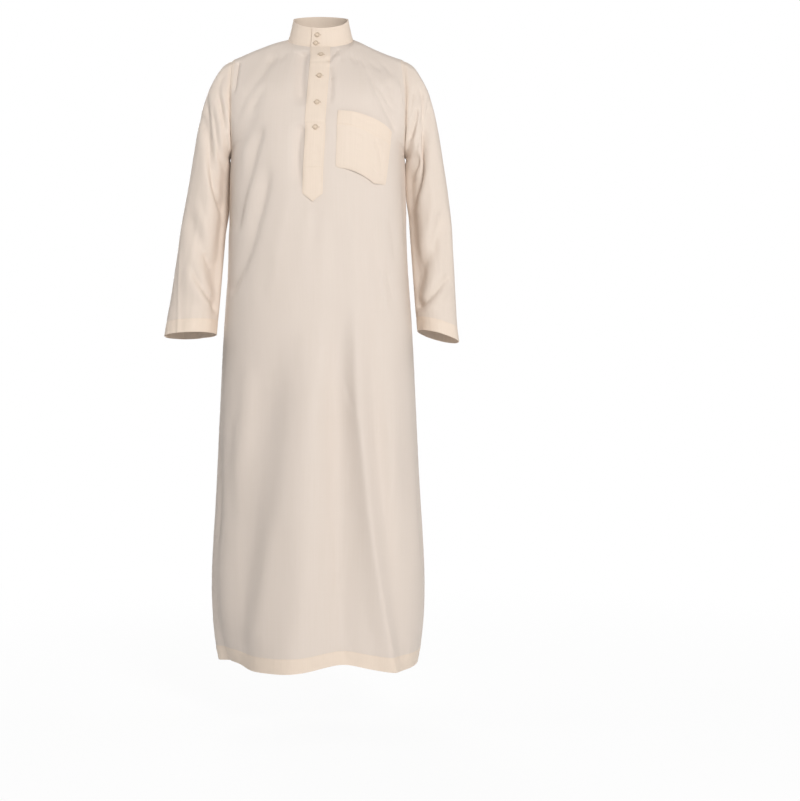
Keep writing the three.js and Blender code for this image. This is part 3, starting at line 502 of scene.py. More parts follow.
def panelGrid(face, folds, small):
    kit = panelCloth
    fixed = [0.0]
    for reach, count in kit["columns"]:
        fixed += list(np.linspace(fixed[-1], reach, count + 1)[1:])
    places = np.linspace(0, 1, 241)
    rows = []
    for k, row in enumerate(bodyRows):
        count = row["steps"] if k < len(bodyRows) - 1 else 1
        rows += [(k, i / count) for i in range(count)]
    plain = []
    distance = []
    toEdge = []
    for k, t in rows:
        halves = []
        for side in (-1, 1):
            samples = bodyPoint(k, t, side * places, face)
            lengths = lengthsAlong(samples)
            whole = lengths[-1]
            wanted = np.array(fixed + list(np.linspace(fixed[-1], whole, kit["outerColumns"] + 1)[1:]))
            s = side * np.interp(wanted, lengths, places)
            halves.append((bodyPoint(k, t, s, face), wanted, whole - wanted))
        (right, rightAt, rightLeft), (leftSide, leftAt, leftLeft) = halves
        plain.append(np.concatenate([right[::-1], leftSide[1:]]))
        distance.append(np.concatenate([-rightAt[::-1], leftAt[1:]]))
        toEdge.append(np.concatenate([rightLeft[::-1], leftLeft[1:]]))
    plain = np.array(plain)
    distance = np.array(distance)
    toEdge = np.array(toEdge)
    depths = [row["down"] for row in bodyRows]
    down = np.interp([k + t for k, t in rows], np.arange(len(depths)), depths)
    downs = np.repeat(down[:, None], plain.shape[1], 1)
    flat = -face * gridNormals(plain)
    x = plain[..., 0]
    z = plain[..., 2]
    large = sum(bentFold(x, z, *fold) for fold in folds)

    def calm(key):
        return smooth(toEdge / kit[key][0]) * smooth(downs / kit[key][1])

    fine = kit["creaseGain"] * creases(x, z, small) * calm("creaseCalm")
    for side in (-1, 1):
        here = np.where(np.sign(distance) == side, toEdge, 1e4)
        fine += creases(here, z, sideCreases[(side, face)]) * smooth(toEdge / kit["sideCalm"])
    under = kit["underSleeve"]
    beside = smooth((under["fromZ"] - z) / 16) * smooth((z - under["toZ"]) / 60)
    fine += under["swell"] * beside * bell(toEdge, under["spread"])
    u = distance + 1000
    seed = kit["seeds"][face > 0]
    rough = sum(wander(u, downs, *cell, seed + i) * share for i, (cell, share) in enumerate(kit["rough"]))
    fine += kit["unevenness"] * rough * calm("roughCalm")
    outer = plain + flat * (large * calm("calm") + fine)[..., None]
    hemEdge = bodyRows[-1]["down"] - downs

    def uneven(key, plus):
        return wander(u, downs, *kit[key], seed + plus)

    dip = seamDips(kit, toEdge, hemEdge, uneven("puckerCell", 3))
    dip -= kit["shoulderDip"] * bell(downs, 3)
    dip += kit["hemRipple"] * uneven("rippleCell", 5) * bell(hemEdge - kit["hemDepth"] + 5, 12)
    dip += kit["hemWave"] * uneven("waveCell", 6) * smooth(1 - hemEdge / kit["waveReach"])
    outer = outer + flat * dip[..., None]
    low = smooth(1 - (outer[..., 2] - bodyRows[-1]["z"]) / hemLift["reach"]) * smooth(toEdge / 60)
    if face < 0:
        outer[..., 2] += hemLift["height"] * bell(outer[..., 0] - hemLift["x"], hemLift["width"]) * low
    outer[..., 2] += kit["hemSway"] * uneven("swayCell", 8) * smooth(1 - hemEdge / kit["swayReach"])
    normals = -face * gridNormals(outer)
    underarmRow = next(j for j, (k, t) in enumerate(rows) if k == underarm)
    rowAt = np.arange(len(rows))[:, None]
    seamEdge = (toEdge < 0.01) & (rowAt >= underarmRow)
    near = smooth(1 - toEdge / 9) * (rowAt >= underarmRow)
    mouth = smooth((sidePocket["topZ"] - z) / 30) * smooth((z - sidePocket["bottomZ"]) / 30)
    outer[..., 1] += face * (0.1 * seamEdge + sidePocket["gape"] * mouth * near)
    normals[..., 1] = np.where(seamEdge, 0, normals[..., 1])
    normals = unit(normals)
    inner, doubled = innerFace(kit, outer, normals, toEdge, hemEdge)
    facing = bell(np.maximum(0, toEdge - 4), 5) * (mouth > 0.02) * (toEdge < 12)
    doubled = np.maximum(doubled, facing * smooth((rowAt - underarmRow) / 2))
    more = dict(distance=distance, toEdge=toEdge, downs=downs, underarmRow=underarmRow)
    return clothGrid(outer, inner, normals, distance + 400 * face, -downs, doubled, **more)


front = panelGrid(-1, frontFolds, frontCreases)
back = panelGrid(1, backFolds, backCreases)
frontPiece = shellObject("frontCloth", front)
backPiece = shellObject("backCloth", back)
print("panels:", len(frontPiece.data.polygons), len(backPiece.data.polygons), "faces")


sleeveRows = [  # outermost point, innermost point, middle depth, half depth
    (183, -46, 186, -255, 2, 57),
    (205, -62, 188.6, -257, 2, 61),
    (223, -87, 189.6, -260, 3, 64),
    (238, -118, 190.2, -264, 3, 66),
    (249, -155, 190.6, -271, 4, 67),
    (258, -197, 191, -283, 6, 67),
    (266, -243, 191.5, -302, 8, 66),
    (274, -293, 192.5, -331, 10, 65),
    (282, -345, 194.5, -368, 11, 63),
    (292, -409, 198, -420, 9, 60),
    (300, -482, 203, -488, 3, 55),
    (307, -556, 208, -558, -6, 50),
    (312, -596, 211, -594, -12, 47),
    (317, -632, 214, -630, -17, 45),
]
sleeveCloth = {
    "capRows": 7,
    "cuffBackDrop": 12,
    "steps": (8, 9, 11, 13, 15, 17, 18, 18, 21, 24, 24, 14, 18),
    "thick": 0.8,
    "hemThick": 1.7,
    "hemDepth": 29,
    "seamDip": 0.9,
    "pucker": 0.55,
    "puckerReach": 12,
    "creaseGain": 1.3,
    "layerShow": 0.3,
    "hemDip": 0.4,
    "hemRipple": 0.3,
    "underSeamDip": 0.6,
    "dipWidth": 2.2,
    "fullness": 1.5,  # how far the cap stands over its seam
    "allowance": 0.55,
    "allowanceWidth": 5,
    "rough": ((12, 120, 1.3), (30, 55, 0.5), (60, 24, 0.14)),  # cells all round, their length, share
    "unevenness": 0.9,
    "square": (0.74, 1.35),  # how full the section is at its outer and its inner side; 1 is an oval
    "touch": dict(fromZ=-257, angle=172, spread=38, reach=4.0),  # where it lies against the body
    # cuff: how far its outermost point moves out and down, then its innermost point
    "right": dict(side=-1, touchTo=-392, cuff=(12, 2, 2, 0), seed=21),
    "left": dict(side=1, touchTo=-358, cuff=(-15, 14, -2, -8), seed=41),
}
sleeveFolds = [  # (angle, row) of start, bend and end, height, width in degrees
    ((20, 2.8), (84, 4.6), (138, 7.6), -10, 20),
    ((62, 2.4), (112, 4.2), (150, 6.2), -6, 17),
    ((30, 8.4), (96, 9.4), (160, 10.8), -9, 17),
    ((50, 10.2), (100, 10.7), (150, 11.6), 5, 16),
    ((340, 3.2), (282, 5.2), (222, 8.2), -9, 17),
    ((330, 8.2), (275, 9.1), (210, 9.4), -8, 17),
    ((335, 9.8), (280, 10.2), (215, 10.4), -6, 16),
    ((148, 5.0), (152, 8.0), (150, 12.4), -7, 20),
    ((222, 4.0), (220, 7.0), (226, 10.6), -6, 22),
]
degreesPerRow = 42
sleeveCreases = {  # front and back of each sleeve, as seen from the front
    "rightFront": [
        ([(-253, -160), (-249, -178), (-243, -208), (-236, -243), (-229, -288), (-221, -320),
          (-211, -350), (-199, -376), (-190, -398)], -6.2, 6, 8, 1.7, (0.12, 0.1)),
        ([(-212, -118), (-206, -150), (-198, -188), (-191, -216)], -4.2, 5, 6, 1.6),
        ([(-204, -104), (-199, -140), (-191, -180)], 2.0, 5, 5, 1.6),
        ([(-196, -74), (-207, -104), (-214, -140)], -2.6, 6, 7, 1.7),
        ([(-226, -84), (-236, -112), (-240, -146)], -1.8, 7, 7, 1.8),
        ([(-256, -330), (-240, -380), (-218, -430)], -1.6, 10, 11, 1.8),
        ([(-275, -474), (-261, -510), (-247, -536), (-233, -558), (-219, -576),
          (-208, -590)], -5.4, 7, 9, 1.7, (0.3, 0.1)),
        ([(-240, -462), (-232, -480), (-222, -498)], -2.4, 6, 8, 1.7),
        ([(-292, -440), (-295, -480), (-295.5, -560), (-295.5, -650)], 2.0, 3, 4.5, 1.3, (0.25, 0.0)),
        ([(-226, -600), (-229, -620), (-232, -650)], 1.2, 9, 9, 1.8, (0.3, 0.0)),
    ],
    "rightBack": [
        ([(-240, -130), (-226, -200), (-206, -270)], -3.2, 9, 10, 1.7),
        ([(-256, -200), (-240, -280), (-212, -340)], 2.8, 10, 11, 1.7),
        ([(-268, -300), (-250, -360), (-216, -400)], -3.2, 10, 10, 1.7),
        ([(-284, -380), (-262, -424), (-218, -450)], -3.4, 9, 10, 1.7),
        ([(-286, -410), (-262, -450), (-220, -476)], 3.0, 9, 9, 1.6),
        ([(-290, -470), (-262, -500), (-222, -510)], -2.8, 9, 9, 1.7),
        ([(-284, -560), (-288, -600), (-292, -640)], 2.0, 8, 9, 1.7, (0.3, 0.0)),
        ([(-246, -560), (-246, -600), (-246, -640)], -1.8, 9, 9, 1.8, (0.3, 0.0)),
    ],
    "leftFront": [
        ([(215, -100), (222, -132), (226, -172), (226, -207), (221, -250), (214, -295), (205, -344),
          (197, -380)], -6.0, 8, 6, 1.7, (0.15, 0.12)),
        ([(212, -152), (207, -182), (200, -207), (193, -228)], -4.6, 6, 5, 1.6, (0.2, 0.2)),
        ([(210, -248), (202, -278), (195, -300), (190, -330), (188, -364)], -5.6, 9, 6, 1.7, (0.25, 0.1)),
        ([(216, -200), (212, -238), (204, -268)], 2.6, 5, 5, 1.6),
        ([(204, -110), (198, -150), (194, -190)], -1.6, 4, 4, 1.6),
        ([(268, -360), (257, -400), (251, -446), (250, -490)], -2.0, 11, 11, 1.8),
        ([(232, -300), (228, -360), (222, -420)], -1.4, 10, 10, 1.8),
        ([(287, -502), (269, -523), (255, -541), (240, -558), (226, -571), (212, -577),
          (200, -579)], -6.0, 14, 5, 1.7, (0.2, 0.1)),
        ([(292, -530), (268, -549), (246, -573), (222, -590)], 2.4, 6, 9, 1.6),
        ([(222, -600), (216, -616), (212, -640)], -1.8, 7, 7, 1.8, (0.3, 0.0)),
        ([(268, -600), (270, -620), (272, -650)], -1.4, 9, 9, 1.8, (0.3, 0.0)),
    ],
    "leftBack": [
        ([(236, -130), (224, -200), (206, -262)], -3.2, 10, 9, 1.7),
        ([(256, -190), (244, -270), (214, -330)], 2.8, 11, 10, 1.7),
        ([(266, -290), (252, -350), (214, -396)], -3.0, 10, 10, 1.7),
        ([(282, -380), (262, -420), (220, -446)], -3.4, 10, 9, 1.7),
        ([(284, -404), (262, -446), (222, -474)], 3.0, 9, 9, 1.6),
        ([(288, -470), (264, -496), (224, -508)], -2.6, 9, 9, 1.7),
        ([(270, -570), (272, -610), (272, -650)], 1.8, 8, 9, 1.7, (0.3, 0.0)),
    ],
}


def sleeveGrid(name):
    cloth = sleeveCloth
    kit = cloth[name]
    side = kit["side"]
    end = -1 if side > 0 else 0
    underarmRow = front["underarmRow"]
    rise = slice(underarmRow - 1, 0, -1)

    def ring(key):
        down = front[key][: underarmRow + 1, end].copy()
        up = back[key][: underarmRow + 1, end]
        down[0] = (down[0] + up[0]) / 2
        down[-1] = (down[-1] + up[-1]) / 2
        return np.concatenate([down, up[rise]])

    edge = ring("outer")
    n = len(edge)
    outwards = ring("normals")
    away = unit(np.cross(np.roll(edge, -1, 0) - np.roll(edge, 1, 0), outwards)) * -side
    room = 0.12 * (1 + 2.5 * bell(np.arange(n) - underarmRow, 12))
    hole = edge + away * room[:, None]
    downs = front["downs"][: underarmRow + 1, 0]
    spots = np.interp(downs, [0, 20, 40, 88, 150, 182, 212], [0, 1, 2, 5, 8, 10, 12]) * 15
    angles = np.concatenate([spots, 360 - spots[rise]])
    turns = np.radians(angles)
    last = len(sleeveRows) - 1

    def station(k):
        outX, outZ, inX, inZ, middle, depth = sleeveRows[k]
        toCuff = smooth((k - 7) / (last - 7))
        moveOut, dropOut, moveIn, dropIn = np.array(kit["cuff"]) * toCuff
        outer = np.array([side * (outX + moveOut), middle, outZ - dropOut])
        inside = np.array([side * (inX + moveIn), middle, inZ - dropIn])
        oval = mix(inside, outer, (1 + np.cos(turns[:, None])) / 2)
        full = mix(cloth["square"][1], cloth["square"][0], (1 + np.cos(turns)) / 2)
        oval[:, 1] -= depth * np.sign(np.sin(turns)) * np.abs(np.sin(turns)) ** full
        oval[:, 2] -= cloth["cuffBackDrop"] * smooth((k - last + 3) / 3) * (1 - np.sin(turns)) / 2
        return oval

    first = station(0)
    stations = [station(k) + (hole - first) * (1 - smooth(k / cloth["capRows"])) for k in range(last + 1)]
    grid = []
    rows = []
    for k, count in enumerate(cloth["steps"]):
        slopeA = (stations[min(last, k + 1)] - stations[max(0, k - 1)]) / 2
        slopeB = (stations[min(last, k + 2)] - stations[k]) / 2
        for t in np.arange(count) / count:
            grid.append(between(stations[k], slopeA, stations[k + 1], slopeB, t))
            rows.append(k + t)
    grid.append(stations[last])
    rows.append(last)
    plain = np.array(grid)
    plain = np.concatenate([plain, plain[:, :1]], 1)
    rows = np.repeat(np.array(rows, float)[:, None], n + 1, 1)
    angle = np.repeat(np.concatenate([angles, [360]])[None], len(plain), 0)
    middle = plain[:, :-1].mean(1, keepdims=True)

    def outward(shape):
        normals = gridNormals(shape, True)
        facing = np.sum(normals * (shape - middle), axis=(1, 2))
        return normals * np.sign(facing)[:, None, None]

    flat = outward(plain)
    clear = smooth((np.abs(angle - 180) - 6) / 22)
    large = np.zeros(angle.shape)
    for start, bend, stop, height, width in sleeveFolds:
        path = bow(start, bend, stop) * (1, degreesPerRow)
        large += crease(angle, rows * degreesPerRow, path, height, width, width, 2.0, (0.25, 0.25))
    x = plain[..., 0]
    z = plain[..., 2]
    along = np.repeat(lengthsAlong(plain.mean(1))[:, None], n + 1, 1)
    toEnd = np.linalg.norm(plain - plain[-1:], axis=-1)
    fine = creases(x, z, sleeveCreases[name + "Front"]) * smooth(-flat[..., 1] * 1.5 + 0.1)
    fine += creases(x, z, sleeveCreases[name + "Back"]) * smooth(flat[..., 1] * 1.5 + 0.1)
    fine *= cloth["creaseGain"]

    def waver(cells, long, plus):  # unevenness that closes all round
        return wander(angle / 360 * cells, along, 1, long, kit["seed"] + plus, cells)

    rough = sum(share * waver(cells, long, i) for i, (cells, long, share) in enumerate(cloth["rough"]))
    fine += cloth["unevenness"] * rough * smooth(along / 30)
    fine *= smooth(along / 12)
    dip = seamDips(cloth, along, toEnd, waver(72, 10, 3))
    dip += cloth["fullness"] * bell(along - 13, 12) * smooth(along / 5)
    dip += cloth["hemRipple"] * waver(54, 60, 4) * bell(toEnd - cloth["hemDepth"], 8)
    dip -= cloth["underSeamDip"] * bell(angle - 180, 4) * smooth(along / 6)
    touch = cloth["touch"]
    onBody = smooth((touch["fromZ"] - z) / 16) * smooth((z - kit["touchTo"] + 30) / 50)
    dip += touch["reach"] * onBody * bell(angle - touch["angle"], touch["spread"])
    outer = plain + flat * (clear * (smooth(rows / 2) * large + fine) + dip)[..., None]
    normals = outward(outer)
    inner, doubled = innerFace(cloth, outer, normals, along, toEnd)
    doubled = np.maximum(doubled, cloth["layerShow"])
    return clothGrid(outer, inner, normals, angle + 1000 * side, -along, doubled, toEnd=toEnd)


sleeveGrids = {name: sleeveGrid(name) for name in ("right", "left")}
sleevePieces = {name: shellObject(name + "SleeveCloth", grid, True) for name, grid in sleeveGrids.items()}
print("sleeves:", [len(piece.data.polygons) for piece in sleevePieces.values()], "faces")


stitching = {
    "pitch": 2.6,
    "length": 2.0,
    "threadWidth": 0.34,
    "proud": 0.12,
    "placketEdge": 2.6,
    "collarEdge": 5,
    "neckSeamAbove": 3.2,
    "pocketEdge": 1.8,
    "pocketSecond": 5.2,
    "hemAbove": 30,
    "armholeIn": 5.5,
}

standCollar = {
    "height": 41,
    "lean": 5,
    "topHalfWidth": 59,
    "topHalfDepth": 51,
    "lapped": 21,
    "lapStart": 62,
    "thick": 2.0,
    "lap": 0.4,
    "lapCurl": 0.9,  # how far the lap's end stands off
    "rows": 22,
    "columnStep": 3,
    "sink": 1.2,  # how far its lower edge reaches under the neck seam
    "seat": 0.5,
    "seamDip": 0.25,
    "waver": (0.5, 0.35),  # how uneven its upper edge and its face are
}


def collarGrid():
    kit = standCollar
    half = 2 * neck["arc"]
    count = int((2 * half + 2 * kit["lapped"]) / kit["columnStep"])
    distance = np.linspace(-kit["lapped"], 2 * half + kit["lapped"], count + 1)
    turn = distance / half * math.pi
    angle = np.arcsin(np.sin(turn))
    base = np.where((np.cos(turn) > 0)[:, None], neckSeam(angle, -1), neckSeam(angle, 1))
    level = np.linspace(1, 0, kit["rows"] + 1)
    up = level[:, None] * np.ones(len(distance))
    rise = kit["height"] + kit["sink"]
    height = base[None, :, 2] - kit["sink"] + kit["seat"] + rise * up
    middle = np.stack([neck["x"] + 0 * up, neck["y"] - kit["lean"] * up, height], -1)
    width = mix(1, kit["topHalfWidth"] / neck["halfWidth"], up**0.8)
    depth = mix(1, kit["topHalfDepth"] / neck["frontReach"], up**0.8)
    grid = middle.copy()
    grid[..., 0] += (base[None, :, 0] - neck["x"]) * width
    grid[..., 1] += (base[None, :, 1] - neck["y"]) * depth
    under = np.clip((distance - 2 * half + kit["lapStart"]) / (kit["lapStart"] - kit["lapped"]), 0, 1)
    grid += unit(middle - grid) * (under * (kit["thick"] + kit["lap"]))[None, :, None]
    curl = kit["lapCurl"] * smooth((kit["lapped"] / 2 - (distance + kit["lapped"])) / kit["lapped"] * 2)
    grid -= unit(middle - grid) * curl[None, :, None]
    around = distance[None] + 500 + 0 * up
    grid[..., 2] += kit["waver"][0] * wander(around, up * 40, 60, 60, 91) * up
    outwards = gridNormals(grid)
    if outwards[5, 8, 1] > 0:
        outwards = -outwards
    bump = kit["waver"][1] * wander(around, up * 40, 34, 22, 92)
    bump -= kit["seamDip"] * bell((1 - up) * rise - stitching["collarEdge"], 1.1)
    grid = grid + outwards * bump[..., None]
    inner = grid - outwards * kit["thick"]
    return clothGrid(grid, inner, outwards, around + 1500, up * rise, 1 + 0 * up, distance=distance)


collar = collarGrid()
collarPiece = shellObject("standCollarCloth", collar)


distanceRow = 60  # columns near the middle keep their distance in every row, so one row tells it


def onFront(distance, z):  # points and normals of the front at one distance from its centre line
    grid = front["outer"]
    known = front["distance"][distanceRow]
    col = np.interp(distance, known, np.arange(len(known)))
    c = min(int(col), len(known) - 2)
    f = col - c
    line = mix(grid[:, c], grid[:, c + 1], f)
    lineNormals = unit(mix(front["normals"][:, c], front["normals"][:, c + 1], f))
    at = np.interp(-np.asarray(z), -line[:, 2], np.arange(len(line)))
    j = np.minimum(at.astype(int), len(line) - 2)
    g = (at - j)[:, None]
    return mix(line[j], line[j + 1], g), unit(mix(lineNormals[j], lineNormals[j + 1], g))


def patch(columns):  # points and normals for columns of distance and heights
    points, normals = zip(*(onFront(distance, heights) for distance, heights in columns))
    return np.array([np.stack(points, 1), np.stack(normals, 1)])


placketStrip = {
    "halfWidth": 21,
    "widerAbove": (-203, 1.6, -1.2),  # height, and how much wider it lies above it on the two sides
    "drift": (-200, -350, -3),  # between these heights it slips that far to the side
    "cornerZ": -350,
    "pointZ": -367,
    "thick": 1.3,
    "lift": 0.5,
    "crown": 0.35,
    "sideCalm": 0.35,  # how much weaker its folds are at the sides
    "stiffness": 2,  # how strongly each row keeps one direction
    "underFollow": 0.8,  # how far its under face follows the folds
    "unevenness": 0.5,
    "seamDip": 0.3,
    "columns": 21,
    "rows": 150,
    "folds": (  # z, height, breadth
        (-36, -0.9, 1.4),
        (-67, -1.2, 1.5),
        (-72, 0.5, 4),
        (-200, -1.0, 1.4),
        (-205, 0.4, 4),
        (-252, -0.3, 3),
        (-268, -0.35, 3),
        (-283, -0.3, 3),
        (-296, -0.45, 1.3),
        (-129, 0.5, 9),
    ),
    "boxLineZ": -295,
}


def placketGrid():
    kit = placketStrip
    spots = np.linspace(-kit["halfWidth"], kit["halfWidth"], kit["columns"])
    columns = []
    for distance in spots:
        top = np.interp(distance, front["distance"][distanceRow], front["outer"][0, :, 2])
        bottom = mix(kit["pointZ"], kit["cornerZ"], abs(distance) / kit["halfWidth"])
        columns.append((distance, np.linspace(top - 0.5, bottom, kit["rows"])))
    plain = patch(columns)
    first, last, slip = kit["drift"]
    slipped = patch([(distance + slip, heights) for distance, heights in columns])
    plain = mix(plain, slipped, smooth((plain[0, ..., 2:] - first) / (last - first)))
    above, right, left = kit["widerAbove"]
    reach = 1 + np.where(spots < 0, right, left) / kit["halfWidth"]
    wide = patch([(distance * more, heights) for (distance, heights), more in zip(columns, reach)])
    points, normals = mix(plain, wide, smooth((plain[0, ..., 2:] - above + 8) / 12))
    normals = unit(normals + kit["stiffness"] * normals.mean(1, keepdims=True))
    z = points[..., 2]
    share = np.linspace(0, 1, kit["rows"])[:, None] * np.ones(len(spots))
    toSide = (spots[None] / kit["halfWidth"]) ** 2
    bump = sum(height * bell(z - at, breadth) for at, height, breadth in kit["folds"])
    bump = bump * (1 - kit["sideCalm"] * toSide) + kit["crown"] * (1 - toSide)
    bump += kit["unevenness"] * wander(spots[None] + 300 + 0 * z, -z, 14, 30, 61)
    bump *= smooth(share / 0.03)
    edge = np.minimum(kit["halfWidth"] - np.abs(spots)[None] + 0 * z, (1 - share) * 300)
    bump -= kit["seamDip"] * bell(edge - stitching["placketEdge"], 1.1)
    inner = points + normals * (kit["lift"] + np.maximum(0, bump) * kit["underFollow"])[..., None]
    outer = points + normals * (kit["lift"] + kit["thick"] + np.maximum(bump, -0.5))[..., None]
    return clothGrid(outer, inner, normals, spots[None] + 3000 + 0 * z, z, 1 + 0 * z)


placket = placketGrid()
placketPiece = shellObject("placketCloth", placket)

pocketPatch = {
    "inner": 44,
    "outer": 168,
    "topZ": -176,
    "bottomZ": -296,
    "topDroop": (38, 1.9),  # how much lower its outer end lies, and above 1 it is level at first
    "bottomDroop": (62, 1.8),
    "bottomLowest": 31,  # the bottom edge falls no further, which cuts off its outer corner
    "lean": 12,  # how far the outer edge slants in at the bottom
    "leanOver": (0.55, 0.45),  # where the slant starts and over how much it grows, of the breadth
    "stiffness": 1.5,
    "corner": 4,  # size of the cut-off inner corner
    "hem": 30,
    "thick": 0.9,
    "hemThick": 1.5,
    "lift": 0.2,
    "puff": 3.0,
    "sag": 4.2,  # the bag hangs over its bottom seam
    "hemDip": 0.6,
    "layerShow": 0.8,
    "columns": 46,
    "rows": 46,
}
pocketCreases = [  # across and down from its top inner corner
    ([(70, 30), (88, 48), (99, 72), (106, 100)], -2.4, 8, 4.5, 1.6),
    ([(86, 32), (102, 50), (112, 78)], 1.0, 5, 5, 1.6),
    ([(70, 92), (86, 100), (104, 104)], -1.0, 5, 5, 1.6),
    ([(18, 44), (40, 40), (66, 50)], -0.8, 5, 6, 1.8),
    ([(16, 70), (40, 76), (70, 70)], -0.6, 6, 6, 1.8),
    ([(30, 10), (60, 14), (104, 6)], -0.6, 6, 7, 1.8),
]


def pocketGrid():
    kit = pocketPatch
    share = np.linspace(0, 1, kit["columns"])
    level = np.linspace(0, 1, kit["rows"])
    tall = kit["topZ"] - kit["bottomZ"]
    wide = kit["outer"] - kit["inner"]
    columns = []
    for u in share:
        distance = mix(kit["inner"], kit["outer"], u)
        cut = max(0, kit["corner"] - u * wide)
        drop, curve = kit["topDroop"]
        top = kit["topZ"] - drop * u**curve
        drop, curve = kit["bottomDroop"]
        bottom = kit["bottomZ"] - min(kit["bottomLowest"], drop * u**curve) + cut
        columns.append((distance, top + (bottom - top) * level))
    slanted = patch([(distance - kit["lean"], heights) for distance, heights in columns])
    start, over = kit["leanOver"]
    slant = smooth((share[None] - start) / over)[..., None] * (level**2)[:, None, None]
    points, normals = mix(patch(columns), slanted, slant)
    normals = unit(normals + kit["stiffness"] * normals.mean((0, 1), keepdims=True))
    u = share[None] + 0 * level[:, None]
    v = level[:, None] + 0 * share[None]
    swell = np.clip(1.5 * np.sin(u * math.pi) * np.sin((1 - v) * math.pi / 2) ** 0.8, 0, 1)
    low = bell(v - 0.95, 0.1) * smooth((u - 0.08) / 0.3) * smooth((0.97 - u) / 0.25)
    bump = kit["puff"] * swell + kit["sag"] * low * (0.7 + 0.3 * np.sin(u * 7 + 0.6))
    toSide = np.minimum(u, 1 - u)
    bump += creases(u * wide, v * wide, pocketCreases) * smooth(toSide / 0.06) * smooth((1 - v) / 0.05)
    bump -= kit["hemDip"] * bell(v * tall - kit["hem"], 1.8) * smooth(toSide / 0.04)
    inner = points + normals * (kit["lift"] + bump)[..., None]
    thick = np.where(v * tall < kit["hem"], kit["hemThick"], kit["thick"])
    outer = inner + normals * thick[..., None]
    doubled = np.where(v * tall < kit["hem"] + 1, 1.0, kit["layerShow"])
    return clothGrid(outer, inner, normals, u * wide + 4000, -v * wide, doubled)


pocket = pocketGrid()
pocketPiece = shellObject("pocketCloth", pocket)
print("collar, placket and pocket made")


class Wire:  # a node's output that can stand in a sum
    def __init__(self, tree, socket=None):
        self.tree = tree
        self.socket = socket

    def node(self, kind, settings=None, sockets=None, output=0):
        made = self.tree.nodes.new(kind)
        for name, value in (settings or {}).items():
            if name == "stops":
                for stop, (at, colour) in zip(made.color_ramp.elements, value):
                    stop.position = at
                    stop.color = colour
            else:
                setattr(made, name, value)
        self.feed(made, sockets or {})
        return Wire(self.tree, made.outputs[output] if len(made.outputs) else None)

    def feed(self, node, sockets):  # links or constants for a node's sockets
        for name, value in sockets.items():
            if isinstance(value, Wire):
                self.tree.links.new(value.socket, node.inputs[name])
            else:
                node.inputs[name].default_value = value

    def sum(self, operation, first, second):
        return self.node("ShaderNodeMath", {"operation": operation}, {0: first, 1: second})

    def __add__(self, other):
        return self.sum("ADD", self, other)

    def __radd__(self, other):
        return self.sum("ADD", other, self)

    def __sub__(self, other):
        return self.sum("SUBTRACT", self, other)

    def __rsub__(self, other):
        return self.sum("SUBTRACT", other, self)

    def __mul__(self, other):
        return self.sum("MULTIPLY", self, other)

    def __rmul__(self, other):
        return self.sum("MULTIPLY", other, self)

    def __truediv__(self, other):
        return self.sum("DIVIDE", self, other)


def newMaterial(name):
    material = bpy.data.materials.new(name)
    material.use_nodes = True
    tree = material.node_tree
    return material, Wire(tree), tree.nodes["Principled BSDF"]


def tint(wire, share, first, second):
    return wire.node("ShaderNodeMix", {"data_type": "RGBA"}, {0: share, 6: first, 7: second}, 2)


def noise(wire, vector, scale, detail, **more):
    sockets = {"Vector": vector, "Scale": scale, "Detail": detail, **more}
    return wire.node("ShaderNodeTexNoise", None, sockets)


def relief(wire, height, strength, depth):
    return wire.node("ShaderNodeBump", None, {"Strength": strength, "Distance": depth, "Height": height})


def objectPlace(wire):
    return wire.node("ShaderNodeTexCoord", None, None, "Object")


clothLook = {
    "single": (0.732, 0.642, 0.573, 1),
    "doubled": (0.812, 0.686, 0.575, 1),
    "streak": (0.660, 0.565, 0.460, 1),
    "threadPitch": 0.00055,
    "slub": ((420, 7), 3, 0.6),  # scale across and along, detail, roughness
    "weftSlub": ((9, 520), 2, 0.5),
    "clouds": (5.5, 3),
    "streaks": (0.34, 0.12, 0.16),  # shares of slubs, weft slubs and clouds
    "heights": (0.35, 1.6, 0.7),  # shares of weave, slubs and weft slubs
    "relief": (0.22, 0.00016),
    "roughness": 0.62,
    "specular": 0.32,
    "sheen": 0.22,
    "sheenRoughness": 0.42,
    "sheenTint": (1.0, 0.95, 0.88, 1),
}


def slubs(wire, uv, scale, detail, rough):  # uneven threads that run along the cloth's cut
    stretched = wire.node("ShaderNodeMapping", None, {"Vector": uv, "Scale": (*scale, 1)})
    sockets = {"Vector": stretched, "Scale": 1, "Detail": detail, "Roughness": rough}
    return wire.node("ShaderNodeTexNoise", {"noise_dimensions": "2D"}, sockets)


